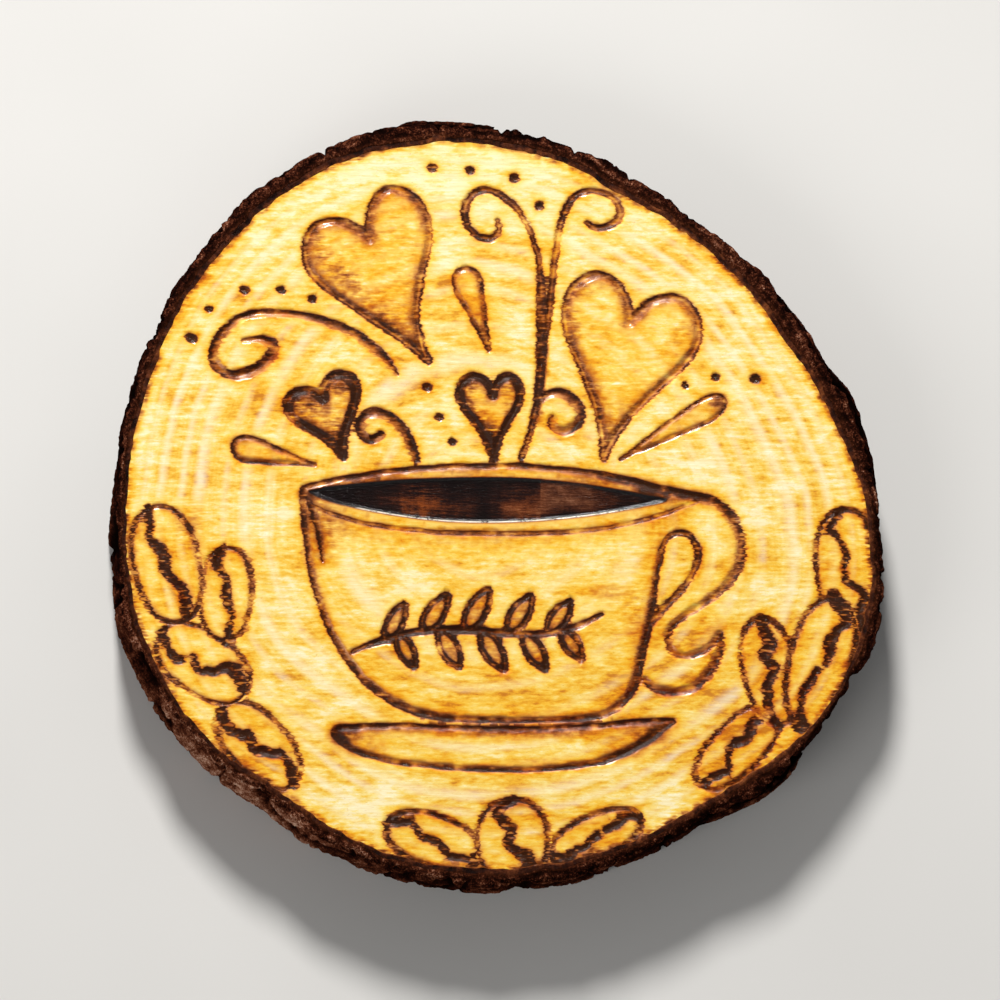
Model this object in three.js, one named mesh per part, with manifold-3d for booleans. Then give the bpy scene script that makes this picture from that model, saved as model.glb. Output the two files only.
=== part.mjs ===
// A slice sawn across a small log, bark on, with a coffee cup drawing burned into its upper face.
//
// Frame: millimetres, +Z up. The origin lies in the underside plane, at the middle of the slice.
// +Y points to the top of the drawing and +X to its right.
//
// The slice is a wood disc with a pith core, wrapped by an inner and an outer bark layer and three
// bark scales. Every burned mark is an open groove in the upper face, lined by its own plate of char.

import * as THREE from 'three';
import { mergeVertices } from 'three/addons/utils/BufferGeometryUtils.js';
import Module from 'manifold-3d';

const { clamp, degToRad, lerp } = THREE.MathUtils;

// ---------------------------------------------------------------- driving dimensions (mm)

const THICKNESS = 10;            // slice, underside to upper face
const CLEARANCE = 0.05;          // char to groove wall, in plan
const PART_GAP = 0.06;           // between two marks that meet
const RIM_LAND = 0.35;           // wood left between a bean's groove and the wood's edge
const CUT_OVERSHOOT = 1;         // a cutting solid reaches past what it cuts by this much

// the two kinds of burn: heights of the groove's floor and of the char's top, and the char's material
const LINE_BURN = { floor: THICKNESS - 0.7, top: THICKNESS - 0.3, material: 'charLine' };
const FILL_BURN = { floor: THICKNESS - 0.5, top: THICKNESS - 0.15, material: 'charFill' };

const PITH_X = -2.61;
const PITH_Y = -0.55;
const PITH_RADIUS = 1.2;
const PITH_SIDES = 14;
const PITH_TOP = FILL_BURN.floor; // the pith ends under the coffee surface

const INNER_BARK_SHARE = 0.34;   // of the whole bark thickness
const INNER_BARK_MIN = 0.32;
const INNER_BARK_MAX = 0.75;
const OUTER_BARK_MIN = 0.45;
const BARK_EDGE_DROP = 0.45;     // the outer bark's top and bottom slope away by this much
const BARK_RELIEF = 0.28;        // ridges of the bark's side, in and out
const BARK_RELIEF_LEVELS = [3.2, 6.4]; // heights of the bark side's middle rings

// Edge of the wood and outer edge of the bark: one radius every 5 degrees, anticlockwise from +X.
const OUTLINE_STEPS = 72;
const WOOD_RADIUS = [
  42.71, 41.92, 40.94, 40.11, 39.51, 38.98, 38.51, 38.38, 38.41, 38.43, 38.44, 38.48,
  38.57, 38.72, 39.08, 39.90, 40.66, 41.20, 41.80, 42.43, 42.85, 43.17, 43.56, 43.83,
  43.98, 44.01, 43.93, 43.69, 43.56, 43.59, 43.55, 43.32, 43.18, 43.14, 43.14, 43.19,
  43.38, 43.67, 43.91, 44.12, 44.19, 44.18, 44.14, 43.99, 43.60, 42.97, 42.35, 42.29,
  42.46, 42.65, 42.76, 42.79, 42.77, 42.59, 42.41, 42.36, 42.33, 42.20, 42.11, 42.02,
  41.94, 42.02, 42.49, 43.18, 43.98, 44.57, 44.85, 44.88, 44.74, 44.50, 44.08, 43.33,
];
const BARK_RADIUS = [
  44.48, 43.75, 43.27, 43.02, 42.12, 41.23, 41.12, 41.10, 41.15, 40.73, 40.65, 40.77,
  40.93, 41.10, 41.85, 42.50, 42.72, 43.46, 43.84, 44.23, 44.93, 45.68, 46.00, 46.05,
  46.12, 46.44, 46.28, 45.93, 45.62, 45.52, 45.25, 45.12, 44.98, 44.83, 44.78, 44.61,
  44.68, 45.06, 45.13, 45.74, 45.96, 45.54, 45.55, 45.33, 44.88, 44.58, 44.03, 43.81,
  44.20, 44.17, 44.40, 44.58, 44.61, 44.78, 44.62, 44.35, 44.35, 44.10, 43.88, 43.97,
  43.94, 43.87, 44.93, 45.58, 45.60, 45.76, 45.78, 46.10, 46.86, 46.51, 45.60, 44.85,
];

// ---------------------------------------------------------------- the drawing

// rows of values, turned into objects with the columns as field names
function table(columns, rows) {
  return rows.map((row) => Object.fromEntries(columns.map((column, i) => [column, row[i]])));
}

// Burned strokes, by mark: each stroke is a list of [x, y, half width] along its middle line.
const CUP_BODY_STROKES = {
  cup_rim: [
    [
      [-22.96, 1.66, 0.35], [-18.66, 2.71, 0.35], [-11.68, 3.76, 0.35], [-4.7, 4.28, 0.35],
      [2.27, 4.34, 0.35], [9.25, 3.81, 0.37], [15.06, 2.71, 0.47], [19.48, 1.55, 0.58],
      [23.44, 0.85, 0.52],
    ],
  ],
  cup_wall: [
    [
      [-22.96, 1.31, 0.47], [-22.78, -2.52, 0.4], [-22.15, -7.41, 0.35], [-20.87, -12.17, 0.35],
      [-19.01, -16.36, 0.4], [-16.45, -19.97, 0.47], [-13.31, -22.64, 0.51],
      [-9.82, -24.27, 0.49], [-6.33, -25.02, 0.44],
    ],
    [
      [-6.33, -25.02, 0.44], [-0.05, -25.26, 0.37], [6.34, -25.2, 0.37], [11.58, -24.73, 0.47],
    ],
    [
      [11.58, -24.73, 0.47], [14.02, -23.34, 0.58], [15.53, -21.13, 0.6], [16.34, -18.22, 0.56],
      [16.92, -15.66, 0.51], [17.51, -13.1, 0.47], [17.97, -10.31, 0.4], [18.38, -7.41, 0.35],
      [18.9, -4.97, 0.35],
    ],
    [
      [-22.84, 0.85, 0.35], [-21.8, -1.01, 0.42], [-21.1, -3.8, 0.37], [-20.69, -6.83, 0.14],
    ],
  ],
};
const DETAIL_STROKES = {
  cup_lip: [
    [
      [-22.61, 0.03, 0.19], [-19.82, -1.24, 0.23], [-15.17, -2.52, 0.26], [-8.19, -3.34, 0.28],
      [-0.05, -3.57, 0.3], [8.09, -3.28, 0.28], [14.48, -2.41, 0.26], [19.72, -0.9, 0.26],
      [23.2, 0.5, 0.23],
    ],
  ],
  cup_handle: [
    [
      [23.2, 0.85, 0.52], [25.18, 0.27, 0.52], [26.92, -1.24, 0.56], [27.91, -3.34, 0.6],
      [28.09, -5.78, 0.63], [27.33, -8.1, 0.58], [25.7, -10.08, 0.53], [23.67, -11.59, 0.49],
      [21.58, -12.99, 0.47], [20.01, -14.38, 0.47], [19.48, -15.9, 0.47], [20.18, -17.23, 0.47],
      [21.69, -17.64, 0.42], [23.32, -17.23, 0.42], [24.72, -16.24, 0.49], [25.53, -15.2, 0.47],
    ],
    [
      [16.81, -20.55, 0.42], [18.2, -21.48, 0.47], [20.3, -21.83, 0.52], [22.39, -21.36, 0.56],
      [24.02, -19.97, 0.58], [25.18, -18.22, 0.6], [25.65, -16.48, 0.51], [25.53, -15.2, 0.47],
    ],
  ],
  handle_loop: [
    [
      [18.78, -5.31, 0.35], [19.6, -3.92, 0.37], [20.99, -3.34, 0.4], [22.33, -3.92, 0.42],
      [23.09, -5.55, 0.44], [22.74, -7.41, 0.44], [21.69, -9.27, 0.44], [20.18, -11.01, 0.47],
      [18.67, -12.52, 0.51], [17.39, -14.03, 0.53],
    ],
  ],
  saucer: [
    [
      [-18.54, -27.64, 0.58], [-19.12, -26.83, 0.76], [-18.19, -26.24, 0.52],
      [-13.42, -25.95, 0.35], [-7.03, -26.07, 0.33], [-0.05, -26.24, 0.3], [6.92, -26.13, 0.33],
      [12.74, -25.72, 0.35], [17.39, -25.31, 0.44], [20.06, -25.31, 0.42],
    ],
    [
      [20.06, -25.31, 0.42], [18.2, -26.71, 0.58], [15.99, -28.22, 0.63], [13.2, -29.5, 0.53],
      [9.83, -30.37, 0.42], [4.6, -30.9, 0.35], [-1.22, -30.95, 0.35], [-7.03, -30.66, 0.37],
      [-12.26, -30.08, 0.37], [-16.33, -29.03, 0.4], [-18.54, -27.64, 0.58],
    ],
  ],
  scroll_large_left: [
    [
      [-12.03, 15.03, 0.16], [-13.54, 17.01, 0.51], [-15.75, 18.87, 0.6], [-18.31, 20.38, 0.53],
      [-21.22, 21.43, 0.47], [-24.47, 22.01, 0.42], [-27.73, 22.07, 0.47], [-30.4, 21.43, 0.51],
      [-32.38, 19.8, 0.58], [-33.42, 17.71, 0.58], [-33.08, 15.85, 0.58], [-31.22, 14.8, 0.63],
      [-28.89, 15.33, 0.7], [-27.03, 16.66, 0.74], [-26.39, 18.12, 0.7], [-27.61, 18.99, 0.51],
      [-29.94, 18.81, 0.16],
    ],
  ],
  scroll_twin_stem: [
    [
      [2.45, 5.38, 0.4], [3.55, 8.52, 0.47], [4.42, 12.59, 0.6], [4.77, 17.83, 0.77],
      [4.83, 22.48, 0.7], [4.66, 26.9, 0.51], [4.19, 29.57, 0.42], [3.38, 32.01, 0.4],
      [2.04, 34.34, 0.44], [0.18, 35.97, 0.47], [-1.68, 36.66, 0.49], [-3.19, 36.08, 0.49],
      [-4.12, 34.51, 0.53], [-3.89, 32.59, 0.53], [-2.61, 31.2, 0.51], [-1.04, 30.97, 0.49],
      [-0.17, 31.9, 0.47], [-0.28, 33, 0.33],
    ],
    [
      [4.77, 16.43, 0.35], [5.53, 21.08, 0.51], [5.99, 24.8, 0.53], [6.34, 28.52, 0.51],
      [6.81, 31.55, 0.47], [7.45, 33.99, 0.47], [8.44, 35.73, 0.47], [9.89, 36.55, 0.42],
      [11.75, 36.49, 0.42], [13.26, 35.73, 0.47], [14.02, 34.45, 0.53], [13.78, 33.29, 0.53],
      [12.68, 32.59, 0.51], [11.23, 32.36, 0.47], [10.18, 32.88, 0.35],
    ],
  ],
  scroll_small_left: [
    [
      [-9.82, 5.15, 0.42], [-10.28, 6.55, 0.56], [-11.1, 8.17, 0.58], [-12.32, 9.63, 0.58],
      [-14.01, 10.5, 0.58], [-15.52, 10.27, 0.56], [-16.39, 9.1, 0.58], [-16.04, 7.83, 0.58],
      [-14.94, 7.3, 0.56], [-13.89, 7.88, 0.47],
    ],
  ],
  scroll_small_right: [
    [
      [4.6, 12.24, 0.35], [6.34, 13, 0.49], [7.97, 12.59, 0.58], [9.13, 11.43, 0.63],
      [9.31, 10.03, 0.63], [8.44, 8.87, 0.58], [7.16, 8.47, 0.58], [6.11, 9.05, 0.56],
      [6.11, 9.92, 0.47],
    ],
  ],
};

// edge of the filled coffee surface: [x, y], clockwise
const COFFEE_EDGE = [
  [-22.38, 1.31], [-19.82, 1.84], [-16.33, 2.24], [-11.68, 2.65], [-7.03, 2.88], [-2.38, 3],
  [2.27, 2.94], [6.92, 2.59], [11.58, 2.01], [16.23, 1.2], [19.48, 0.5], [16.23, -0.37],
  [11.58, -1.19], [6.92, -1.77], [2.27, -2.12], [-2.38, -2.23], [-7.03, -2.06], [-11.68, -1.53],
  [-16.33, -0.72], [-19.82, 0.15],
];

// Hearts stand on their tips at x, y. tilt is anticlockwise from upright, in degrees; left and right
// are the half widths of the two lobes; leftTop and rightTop are the lobes' heights as a share of
// the length; bow bends both flanks to the heart's right; line is half the burned line's width.
const HEARTS = table(
  ['name', 'x', 'y', 'tilt', 'length', 'left', 'right', 'leftTop', 'rightTop', 'bow', 'line'],
  [
    ['heart_large_left', -8.4, 16.55, 25.5, 20.5, 7.9, 7.1, 0.97, 0.985, -0.75, 0.5],
    ['heart_large_right', 12.04, 5.35, -11, 21.0, 7.7, 8.2, 1.0, 0.955, 0.1, 0.54],
    ['heart_small_left', -18.3, 5.4, 19, 9.3, 4.4, 4.0, 0.95, 0.99, 0, 0.66],
    ['heart_small_centre', -0.75, 5.2, 1, 9.7, 3.9, 3.2, 1.0, 0.99, 0, 0.56],
  ],
);
// one side of a heart from the tip up and over: [share of twice the half width, share of the length]
const HEART_SIDE = [
  [0, 0], [0.03, 0.10], [0.13, 0.27], [0.28, 0.45], [0.43, 0.62],
  [0.50, 0.78], [0.45, 0.92], [0.31, 1.0], [0.15, 0.965], [0.045, 0.87],
];
// heights on a heart, as shares of its length
const HEART_NOTCH = 0.775;
const HEART_TOP_START = 0.3;     // where a lobe's own top height starts to act
const HEART_TOP_BLEND = 0.4;     // and how far above that it acts in full
const HEART_BOW_END = 0.62;      // the bow fades out here

// Teardrops start at their tips at x, y; tilt is the direction of the round end, in degrees
// anticlockwise from +Y; line is half the burned line's width.
const DROPS = table(['name', 'x', 'y', 'tilt', 'length', 'width', 'line'], [
  ['drop_left', -21.56, 4.34, 77, 9.77, 2.79, 0.33],
  ['drop_centre', -1.33, 17.94, 18, 9.88, 3.14, 0.35],
  ['drop_right', 14.02, 5.27, -60, 14.07, 2.67, 0.28],
]);
// one side of a drop as shares of its width and length; the last point crosses the middle line
const DROP_SIDE = [
  [0, 0], [0.10, 0.18], [0.24, 0.40], [0.39, 0.62], [0.49, 0.80], [0.40, 0.93], [0.16, 0.995],
  [-0.1, 0.998],
];

// The leafy sprig on the cup: its stem as a stroke, and its leaves. angle is the direction of a
// leaf from its foot at x, y, in degrees anticlockwise from +X.
const SPRIG_STEM = [
  [-17.26, -17.29, 0.28], [-13.42, -15.9, 0.47], [-9.35, -14.97, 0.53], [-4.7, -14.73, 0.56],
  [-0.05, -15.08, 0.56], [4.6, -15.2, 0.51], [8.67, -14.38, 0.44], [11.81, -12.87, 0.28],
];
const SPRIG_LEAVES = table(['x', 'y', 'angle', 'length', 'width'], [
  [-13.31, -15.9, 62, 4.65, 1.98], [-8.89, -14.97, 58, 5.12, 2.21],
  [-4.01, -14.73, 60, 5.35, 2.33], [0.88, -15.08, 58, 5.12, 2.21],
  [5.53, -15.08, 54, 4.65, 1.98], [-11.91, -15.43, -62, 4.19, 1.86],
  [-7.03, -14.85, -62, 4.88, 2.09], [-2.15, -14.97, -60, 5.12, 2.21],
  [2.74, -15.2, -58, 4.88, 2.09], [7.16, -14.73, -56, 4.19, 1.86],
]);
const LEAF_LINE = 0.42;          // half width of a leaf's line
// a leaf's edge about its middle, as shares of its width and length
const LEAF_EDGE = [[0, -0.5], [0.42, -0.2], [0.42, 0.16], [0, 0.5], [-0.42, 0.16], [-0.42, -0.2]];

// Coffee beans, by their middles: tilt of the long axis in degrees anticlockwise from +Y, half
// widths of the outline and of the crease, 1 or -1 for the crease as listed or mirrored, and the
// beans that lie in front.
const BEANS = table(
  ['name', 'x', 'y', 'tilt', 'length', 'width', 'line', 'crease', 'side', 'behind'],
  [
    ['bean_left_1', -38.77, -7.29, 13, 13.72, 7.67, 0.4, 0.53, -1, []],
    ['bean_left_2', -31.91, -10.66, -3, 10.93, 6.05, 0.37, 0.47, -1, ['bean_left_1']],
    ['bean_left_3', -34.47, -18.8, 56, 12.09, 7.21, 0.35, 0.58, -1, ['bean_left_1', 'bean_left_2']],
    ['bean_left_4', -28.08, -28.22, 43, 12.09, 6.74, 0.37, 0.56, -1, ['bean_left_3']],
    ['bean_bottom_2', 1.46, -39.15, 2, 9.53, 8.14, 0.44, 0.65, -1, []],
    ['bean_bottom_1', -7.73, -39.27, 70, 11.4, 6.05, 0.47, 0.51, 1, ['bean_bottom_2']],
    ['bean_bottom_3', 11.11, -38.8, -66, 11.4, 5.12, 0.47, 0.49, -1, ['bean_bottom_2']],
    ['bean_right_2', 37.39, -18.34, -15, 15.35, 7.44, 0.44, 0.65, 1, []],
    ['bean_right_1', 40.76, -7.64, 6, 14.19, 7.67, 0.37, 0.49, -1, ['bean_right_2']],
    ['bean_right_3', 31.46, -19.5, 13, 12.56, 6.28, 0.42, 0.63, 1, ['bean_right_2']],
    ['bean_right_4', 27.74, -28.22, -45, 12.79, 5.81, 0.4, 0.49, -1,
      ['bean_right_2', 'bean_right_3']],
  ],
);
const BEAN_STEPS = 14;
const BEAN_ROUNDNESS = 0.9;      // exponent of the superellipse: 1 is an ellipse, less is boxier
// a bean's crease about its middle, as shares of its width and length
const CREASE = [[-0.02, -0.5], [-0.15, -0.3], [-0.03, -0.1], [0.04, 0.05], [0.13, 0.28], [0.02, 0.5]];

const DOTS = table(['name', 'x', 'y', 'radius'], [
  ['dot_top_1', -7.96, 39.1, 0.7],
  ['dot_top_2', -3.54, 38.99, 0.6],
  ['dot_top_3', 1.58, 38.06, 0.72],
  ['dot_top_4', 4.6, 34.86, 0.67],
  ['dot_left_1', -35.98, 18.99, 0.72],
  ['dot_left_2', -33.89, 22.48, 0.51],
  ['dot_left_3', -29.82, 24.69, 0.7],
  ['dot_left_4', -25.52, 24.8, 0.63],
  ['dot_left_5', -21.91, 23.7, 0.67],
  ['dot_centre_1', -8.54, 13.41, 0.65],
  ['dot_centre_2', -7.09, 9.98, 0.65],
  ['dot_centre_3', -5.63, 7.13, 0.58],
  ['dot_right_1', 21.69, 13.93, 0.56],
  ['dot_right_2', 25.24, 14.92, 0.67],
  ['dot_right_3', 29.83, 14.74, 0.77],
]);
const DOT_SIDES = 7;

// ---------------------------------------------------------------- materials

const MATERIALS = {
  wood: { color: 0xe8ba66, roughness: 0.35, metalness: 0 },
  pith: { color: 0x8a5a33, roughness: 0.7, metalness: 0 },
  innerBark: { color: 0x7a4226, roughness: 0.7, metalness: 0 },
  outerBark: { color: 0x3a2418, roughness: 0.92, metalness: 0 },
  scale: { color: 0x5d3823, roughness: 0.9, metalness: 0 },
  charLine: { color: 0x341a10, roughness: 0.6, metalness: 0 },
  charFill: { color: 0x43241a, roughness: 0.4, metalness: 0 },
};

// ---------------------------------------------------------------- solids

const WELD_DISTANCE = 1e-4;

const wasm = await Module();
wasm.setup();

// a closed solid from a geometry: vertices welded, empty triangles dropped, faces turned outward
function toSolid(geometry) {
  geometry.deleteAttribute('normal');
  geometry.deleteAttribute('uv');
  const merged = mergeVertices(geometry, WELD_DISTANCE);
  const positions = merged.attributes.position.array;
  const index = merged.index.array;
  const corner = (vertex) => new THREE.Vector3().fromArray(positions, 3 * vertex);
  const kept = [];
  let volume = 0;
  for (let i = 0; i < index.length; i += 3) {
    const [first, second, third] = index.slice(i, i + 3);
    if (first === second || second === third || first === third) continue;
    kept.push(first, second, third);
    volume += corner(first).dot(corner(second).cross(corner(third))) / 6;
  }
  if (volume < 0) {
    for (let i = 0; i < kept.length; i += 3) {
      [kept[i + 1], kept[i + 2]] = [kept[i + 2], kept[i + 1]];
    }
  }
  return new wasm.Manifold(new wasm.Mesh({
    numProp: 3,
    vertProperties: new Float32Array(positions),
    triVerts: new Uint32Array(kept),
  }));
}

function toGeometry(solid) {
  const mesh = solid.getMesh();
  const positions = new Float32Array(mesh.vertProperties);
  const geometry = new THREE.BufferGeometry();
  geometry.setAttribute('position', new THREE.BufferAttribute(positions, 3));
  geometry.setIndex(new THREE.BufferAttribute(new Uint32Array(mesh.triVerts), 1));
  geometry.computeVertexNormals();
  return geometry;
}

const joined = (solids) => solids.slice(1).reduce((sum, solid) => sum.add(solid), solids[0]);

// a flat outline of [x, y] points, extruded from bottom to top
function prism(outline, bottom, top) {
  const shape = new THREE.Shape(outline.map(([x, y]) => new THREE.Vector2(x, y)));
  const geometry = new THREE.ExtrudeGeometry(shape, { depth: top - bottom, bevelEnabled: false });
  geometry.translate(0, 0, bottom);
  return toSolid(geometry);
}

const cutter = (outline, bottom, top) => prism(outline, bottom - CUT_OVERSHOOT, top + CUT_OVERSHOOT);

// a closed line, halfWidth to each side of an outline; outlineAt gives the outline moved out
function ring(outlineAt, halfWidth, bottom, top) {
  return prism(outlineAt(halfWidth), bottom, top).subtract(cutter(outlineAt(-halfWidth), bottom, top));
}

function uprightCylinder({ x, y, radius, sides, bottom, top }) {
  const geometry = new THREE.CylinderGeometry(radius, radius, top - bottom, sides);
  geometry.rotateX(Math.PI / 2);
  geometry.translate(x, y, (bottom + top) / 2);
  return toSolid(geometry);
}

// ---------------------------------------------------------------- outlines in plan

const MITRE_FLOOR = 0.35;        // least squared cosine of half a bend, which limits the mitre
const LOOP_MITRE_FLOOR = 0.2;    // least cosine of half a bend in a closed outline
const CAP_REACH = 0.8;           // a stroke's pointed end, as a share of its half width

const polar = (radius, angle) => [radius * Math.cos(angle), radius * Math.sin(angle)];
const stepAngle = (step) => 2 * Math.PI * step / OUTLINE_STEPS;
const wrapStep = (step) => ((step % OUTLINE_STEPS) + OUTLINE_STEPS) % OUTLINE_STEPS;

// [across, along, ...] rows about x, y, turned anticlockwise by tilt degrees
function place({ x, y, tilt }, rows) {
  const angle = degToRad(tilt);
  const cos = Math.cos(angle);
  const sin = Math.sin(angle);
  return rows.map(([across, along, ...rest]) => [
    x + across * cos - along * sin,
    y + across * sin + along * cos,
    ...rest,
  ]);
}

function direction(from, to) {
  const step = [to[0] - from[0], to[1] - from[1]];
  const length = Math.hypot(...step);
  return [step[0] / length, step[1] / length];
}

// outline of one burned stroke, grown on every side
function strokeOutline(rows, grow) {
  const left = [];
  const right = [];
  const last = rows.length - 1;
  rows.forEach(([x, y, halfWidth], i) => {
    const before = direction(rows[Math.max(0, i - 1)], rows[Math.max(1, i)]);
    const after = direction(rows[Math.min(last - 1, i)], rows[Math.min(last, i + 1)]);
    const squaredCosine = (1 + before[0] * after[0] + before[1] * after[1]) / 2;
    const reach = (halfWidth + grow) / Math.sqrt(Math.max(MITRE_FLOOR, squaredCosine));
    const sum = [before[0] + after[0], before[1] + after[1]];
    const length = Math.hypot(...sum);
    const side = [-sum[1] / length * reach, sum[0] / length * reach];
    left.push([x + side[0], y + side[1]]);
    right.push([x - side[0], y - side[1]]);
  });
  const cap = ([x, y, halfWidth], outward) => [
    x + outward[0] * (halfWidth + grow) * CAP_REACH,
    y + outward[1] * (halfWidth + grow) * CAP_REACH,
  ];
  const start = cap(rows[0], direction(rows[1], rows[0]));
  const end = cap(rows[last], direction(rows[last - 1], rows[last]));
  return [start, ...right, end, ...left.reverse()];
}

const stroke = (rows, grow, bottom, top) => prism(strokeOutline(rows, grow), bottom, top);

// a clockwise closed outline, moved out by grow
function grownLoop(points, grow) {
  return points.map(([x, y], i) => {
    const [previousX, previousY] = points[(i + points.length - 1) % points.length];
    const [nextX, nextY] = points[(i + 1) % points.length];
    const before = new THREE.Vector2(x - previousX, y - previousY).normalize();
    const after = new THREE.Vector2(nextX - x, nextY - y).normalize();
    const outward = new THREE.Vector2(-before.y - after.y, before.x + after.x).normalize();
    const cosine = outward.dot(new THREE.Vector2(-before.y, before.x));
    const reach = grow / Math.max(LOOP_MITRE_FLOOR, cosine);
    return [x + outward.x * reach, y + outward.y * reach];
  });
}

// the wood's outline, pulled in by inset
const rimOutline = (inset) => WOOD_RADIUS.map((radius, step) => polar(radius - inset, stepAngle(step)));

// ---------------------------------------------------------------- the marks
// A mark is its name, its kind of burn and build(grow, bottom, top), which gives its solid with
// every edge moved out by grow.

function strokesMark(name, strokes) {
  const build = (grow, bottom, top) =>
    joined(strokes.map((rows) => stroke(rows, grow, bottom, top)));
  return { name, burn: LINE_BURN, build };
}

const strokesMarks = (strokeTable) =>
  Object.entries(strokeTable).map(([name, strokes]) => strokesMark(name, strokes));

function coffeeMark() {
  const build = (grow, bottom, top) => prism(grownLoop(COFFEE_EDGE, grow), bottom, top);
  return { name: 'coffee_surface', burn: FILL_BURN, build };
}

function heartMark(heart) {
  const side = (sign, halfWidth, lobeTop) => {
    const lift = (along) =>
      1 + (lobeTop - 1) * clamp((along - HEART_TOP_START) / HEART_TOP_BLEND, 0, 1);
    const bend = (along) => heart.bow * Math.sin(Math.PI * clamp(along / HEART_BOW_END, 0, 1));
    const points = [
      ...HEART_SIDE.map(([across, along]) => [sign * across * 2 * halfWidth, along * lift(along)]),
      [0, HEART_NOTCH],
    ];
    return place(heart, points.map(([across, along]) =>
      [across + bend(along), along * heart.length, heart.line]));
  };
  const right = side(1, heart.right, heart.rightTop);
  const left = side(-1, heart.left, heart.leftTop);
  return strokesMark(heart.name, [right, left]);
}

function dropMark(drop) {
  const side = (sign) => place(drop, DROP_SIDE.map(([across, along]) =>
    [sign * across * drop.width, along * drop.length, drop.line]));
  return strokesMark(drop.name, [side(1), side(-1)]);
}

// a leaf's outline; its pointed ends move out further than its sides
function leafOutline({ x, y, angle, length, width }, grow) {
  return place({ x, y, tilt: angle - 90 }, LEAF_EDGE.map(([across, along]) =>
    [across * (width + 2 * grow), length / 2 + along * (length + 3 * grow)]));
}

function sprigMark() {
  const build = (grow, bottom, top) => joined([
    stroke(SPRIG_STEM, grow, bottom, top),
    ...SPRIG_LEAVES.map((leaf) =>
      ring((offset) => leafOutline(leaf, offset), LEAF_LINE + grow, bottom, top)),
  ]);
  return { name: 'leaf_sprig', burn: LINE_BURN, build };
}

function beanOutline(bean, grow) {
  const round = (value) => Math.sign(value) * Math.abs(value) ** BEAN_ROUNDNESS;
  const points = [];
  for (let i = 0; i < BEAN_STEPS; i++) {
    const angle = 2 * Math.PI * i / BEAN_STEPS;
    points.push([
      (bean.width / 2 + grow) * round(Math.sin(angle)),
      (bean.length / 2 + grow) * round(Math.cos(angle)),
    ]);
  }
  return place(bean, points);
}

// a bean's outline and crease, cut off by the beans in front and by the land along the wood's edge
function beanMark(bean) {
  const crease = place(bean, CREASE.map(([across, along]) =>
    [bean.side * across * bean.width, along * bean.length, bean.crease]));
  const inFront = BEANS.filter((other) => bean.behind.includes(other.name));
  const build = (grow, bottom, top) => {
    let solid = ring((offset) => beanOutline(bean, offset), bean.line + grow, bottom, top)
      .add(stroke(crease, grow, bottom, top));
    for (const front of inFront) {
      const edge = beanOutline(front, front.line + PART_GAP - grow);
      solid = solid.subtract(cutter(edge, bottom, top));
    }
    return solid.intersect(cutter(rimOutline(RIM_LAND - grow), bottom, top));
  };
  return { name: bean.name, burn: LINE_BURN, build };
}

function dotMark({ name, x, y, radius }) {
  const build = (grow, bottom, top) =>
    uprightCylinder({ x, y, radius: radius + grow, sides: DOT_SIDES, bottom, top });
  return { name, burn: LINE_BURN, build };
}

// where two marks meet, the earlier one in this list keeps its full shape
const marks = [
  ...strokesMarks(CUP_BODY_STROKES),
  coffeeMark(),
  ...strokesMarks(DETAIL_STROKES),
  ...HEARTS.map(heartMark),
  ...DROPS.map(dropMark),
  sprigMark(),
  ...BEANS.map(beanMark),
  ...DOTS.map(dotMark),
];

// ---------------------------------------------------------------- the layers of the log

// edges of the layers, which also serve as the radii of a layer's profile before it is shaped
const AXIS = 0;
const WOOD_EDGE = 1;
const INNER_BARK_EDGE = 2;
const BARK_EDGE = 3;

const INNER_BARK_RADIUS = WOOD_RADIUS.map((radius, step) => {
  const share = INNER_BARK_SHARE * (BARK_RADIUS[step] - radius);
  return radius + clamp(share, INNER_BARK_MIN, INNER_BARK_MAX);
});

// repeatable roughness of the bark's side, -1 to 1, evened out over neighbouring steps
function relief(step, z) {
  const raw = (at) => {
    // the usual sine hash: the fraction of a large sine scatters evenly
    const hash = Math.sin(wrapStep(at) * 12.9898 + Math.round(z * 3) * 4.1414) * 43758.5453;
    return 2 * (hash - Math.floor(hash)) - 1;
  };
  return 0.25 * raw(step - 1) + 0.5 * raw(step) + 0.25 * raw(step + 1);
}

function edgeRadius(edge, step, z, grow) {
  if (edge === AXIS) return 0;
  if (edge === WOOD_EDGE) return WOOD_RADIUS[step];
  if (edge === INNER_BARK_EDGE) return INNER_BARK_RADIUS[step];
  const rough = BARK_RADIUS[step] + BARK_RELIEF * relief(step, z);
  return Math.max(rough, INNER_BARK_RADIUS[step] + OUTER_BARK_MIN) + grow;
}

// a profile of [edge, z] turned about the axis, then moved out to each edge's own outline
function logLayer(profile, grow = 0) {
  const points = profile.map(([edge, z]) => new THREE.Vector2(edge, z));
  const geometry = new THREE.LatheGeometry(points, OUTLINE_STEPS);
  geometry.rotateX(Math.PI / 2);
  const position = geometry.attributes.position;
  for (let i = 0; i < position.count; i++) {
    const [x, y, z] = [position.getX(i), position.getY(i), position.getZ(i)];
    const edge = Math.round(Math.hypot(x, y));
    const step = wrapStep(Math.round(Math.atan2(y, x) / (2 * Math.PI) * OUTLINE_STEPS));
    const radius = edgeRadius(edge, step, z, grow);
    position.setXYZ(i, ...polar(radius, stepAngle(step)), Math.round(z * 1e4) / 1e4);
  }
  return toSolid(geometry);
}

const pith = (bottom, top) =>
  uprightCylinder({ x: PITH_X, y: PITH_Y, radius: PITH_RADIUS, sides: PITH_SIDES, bottom, top });

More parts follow.
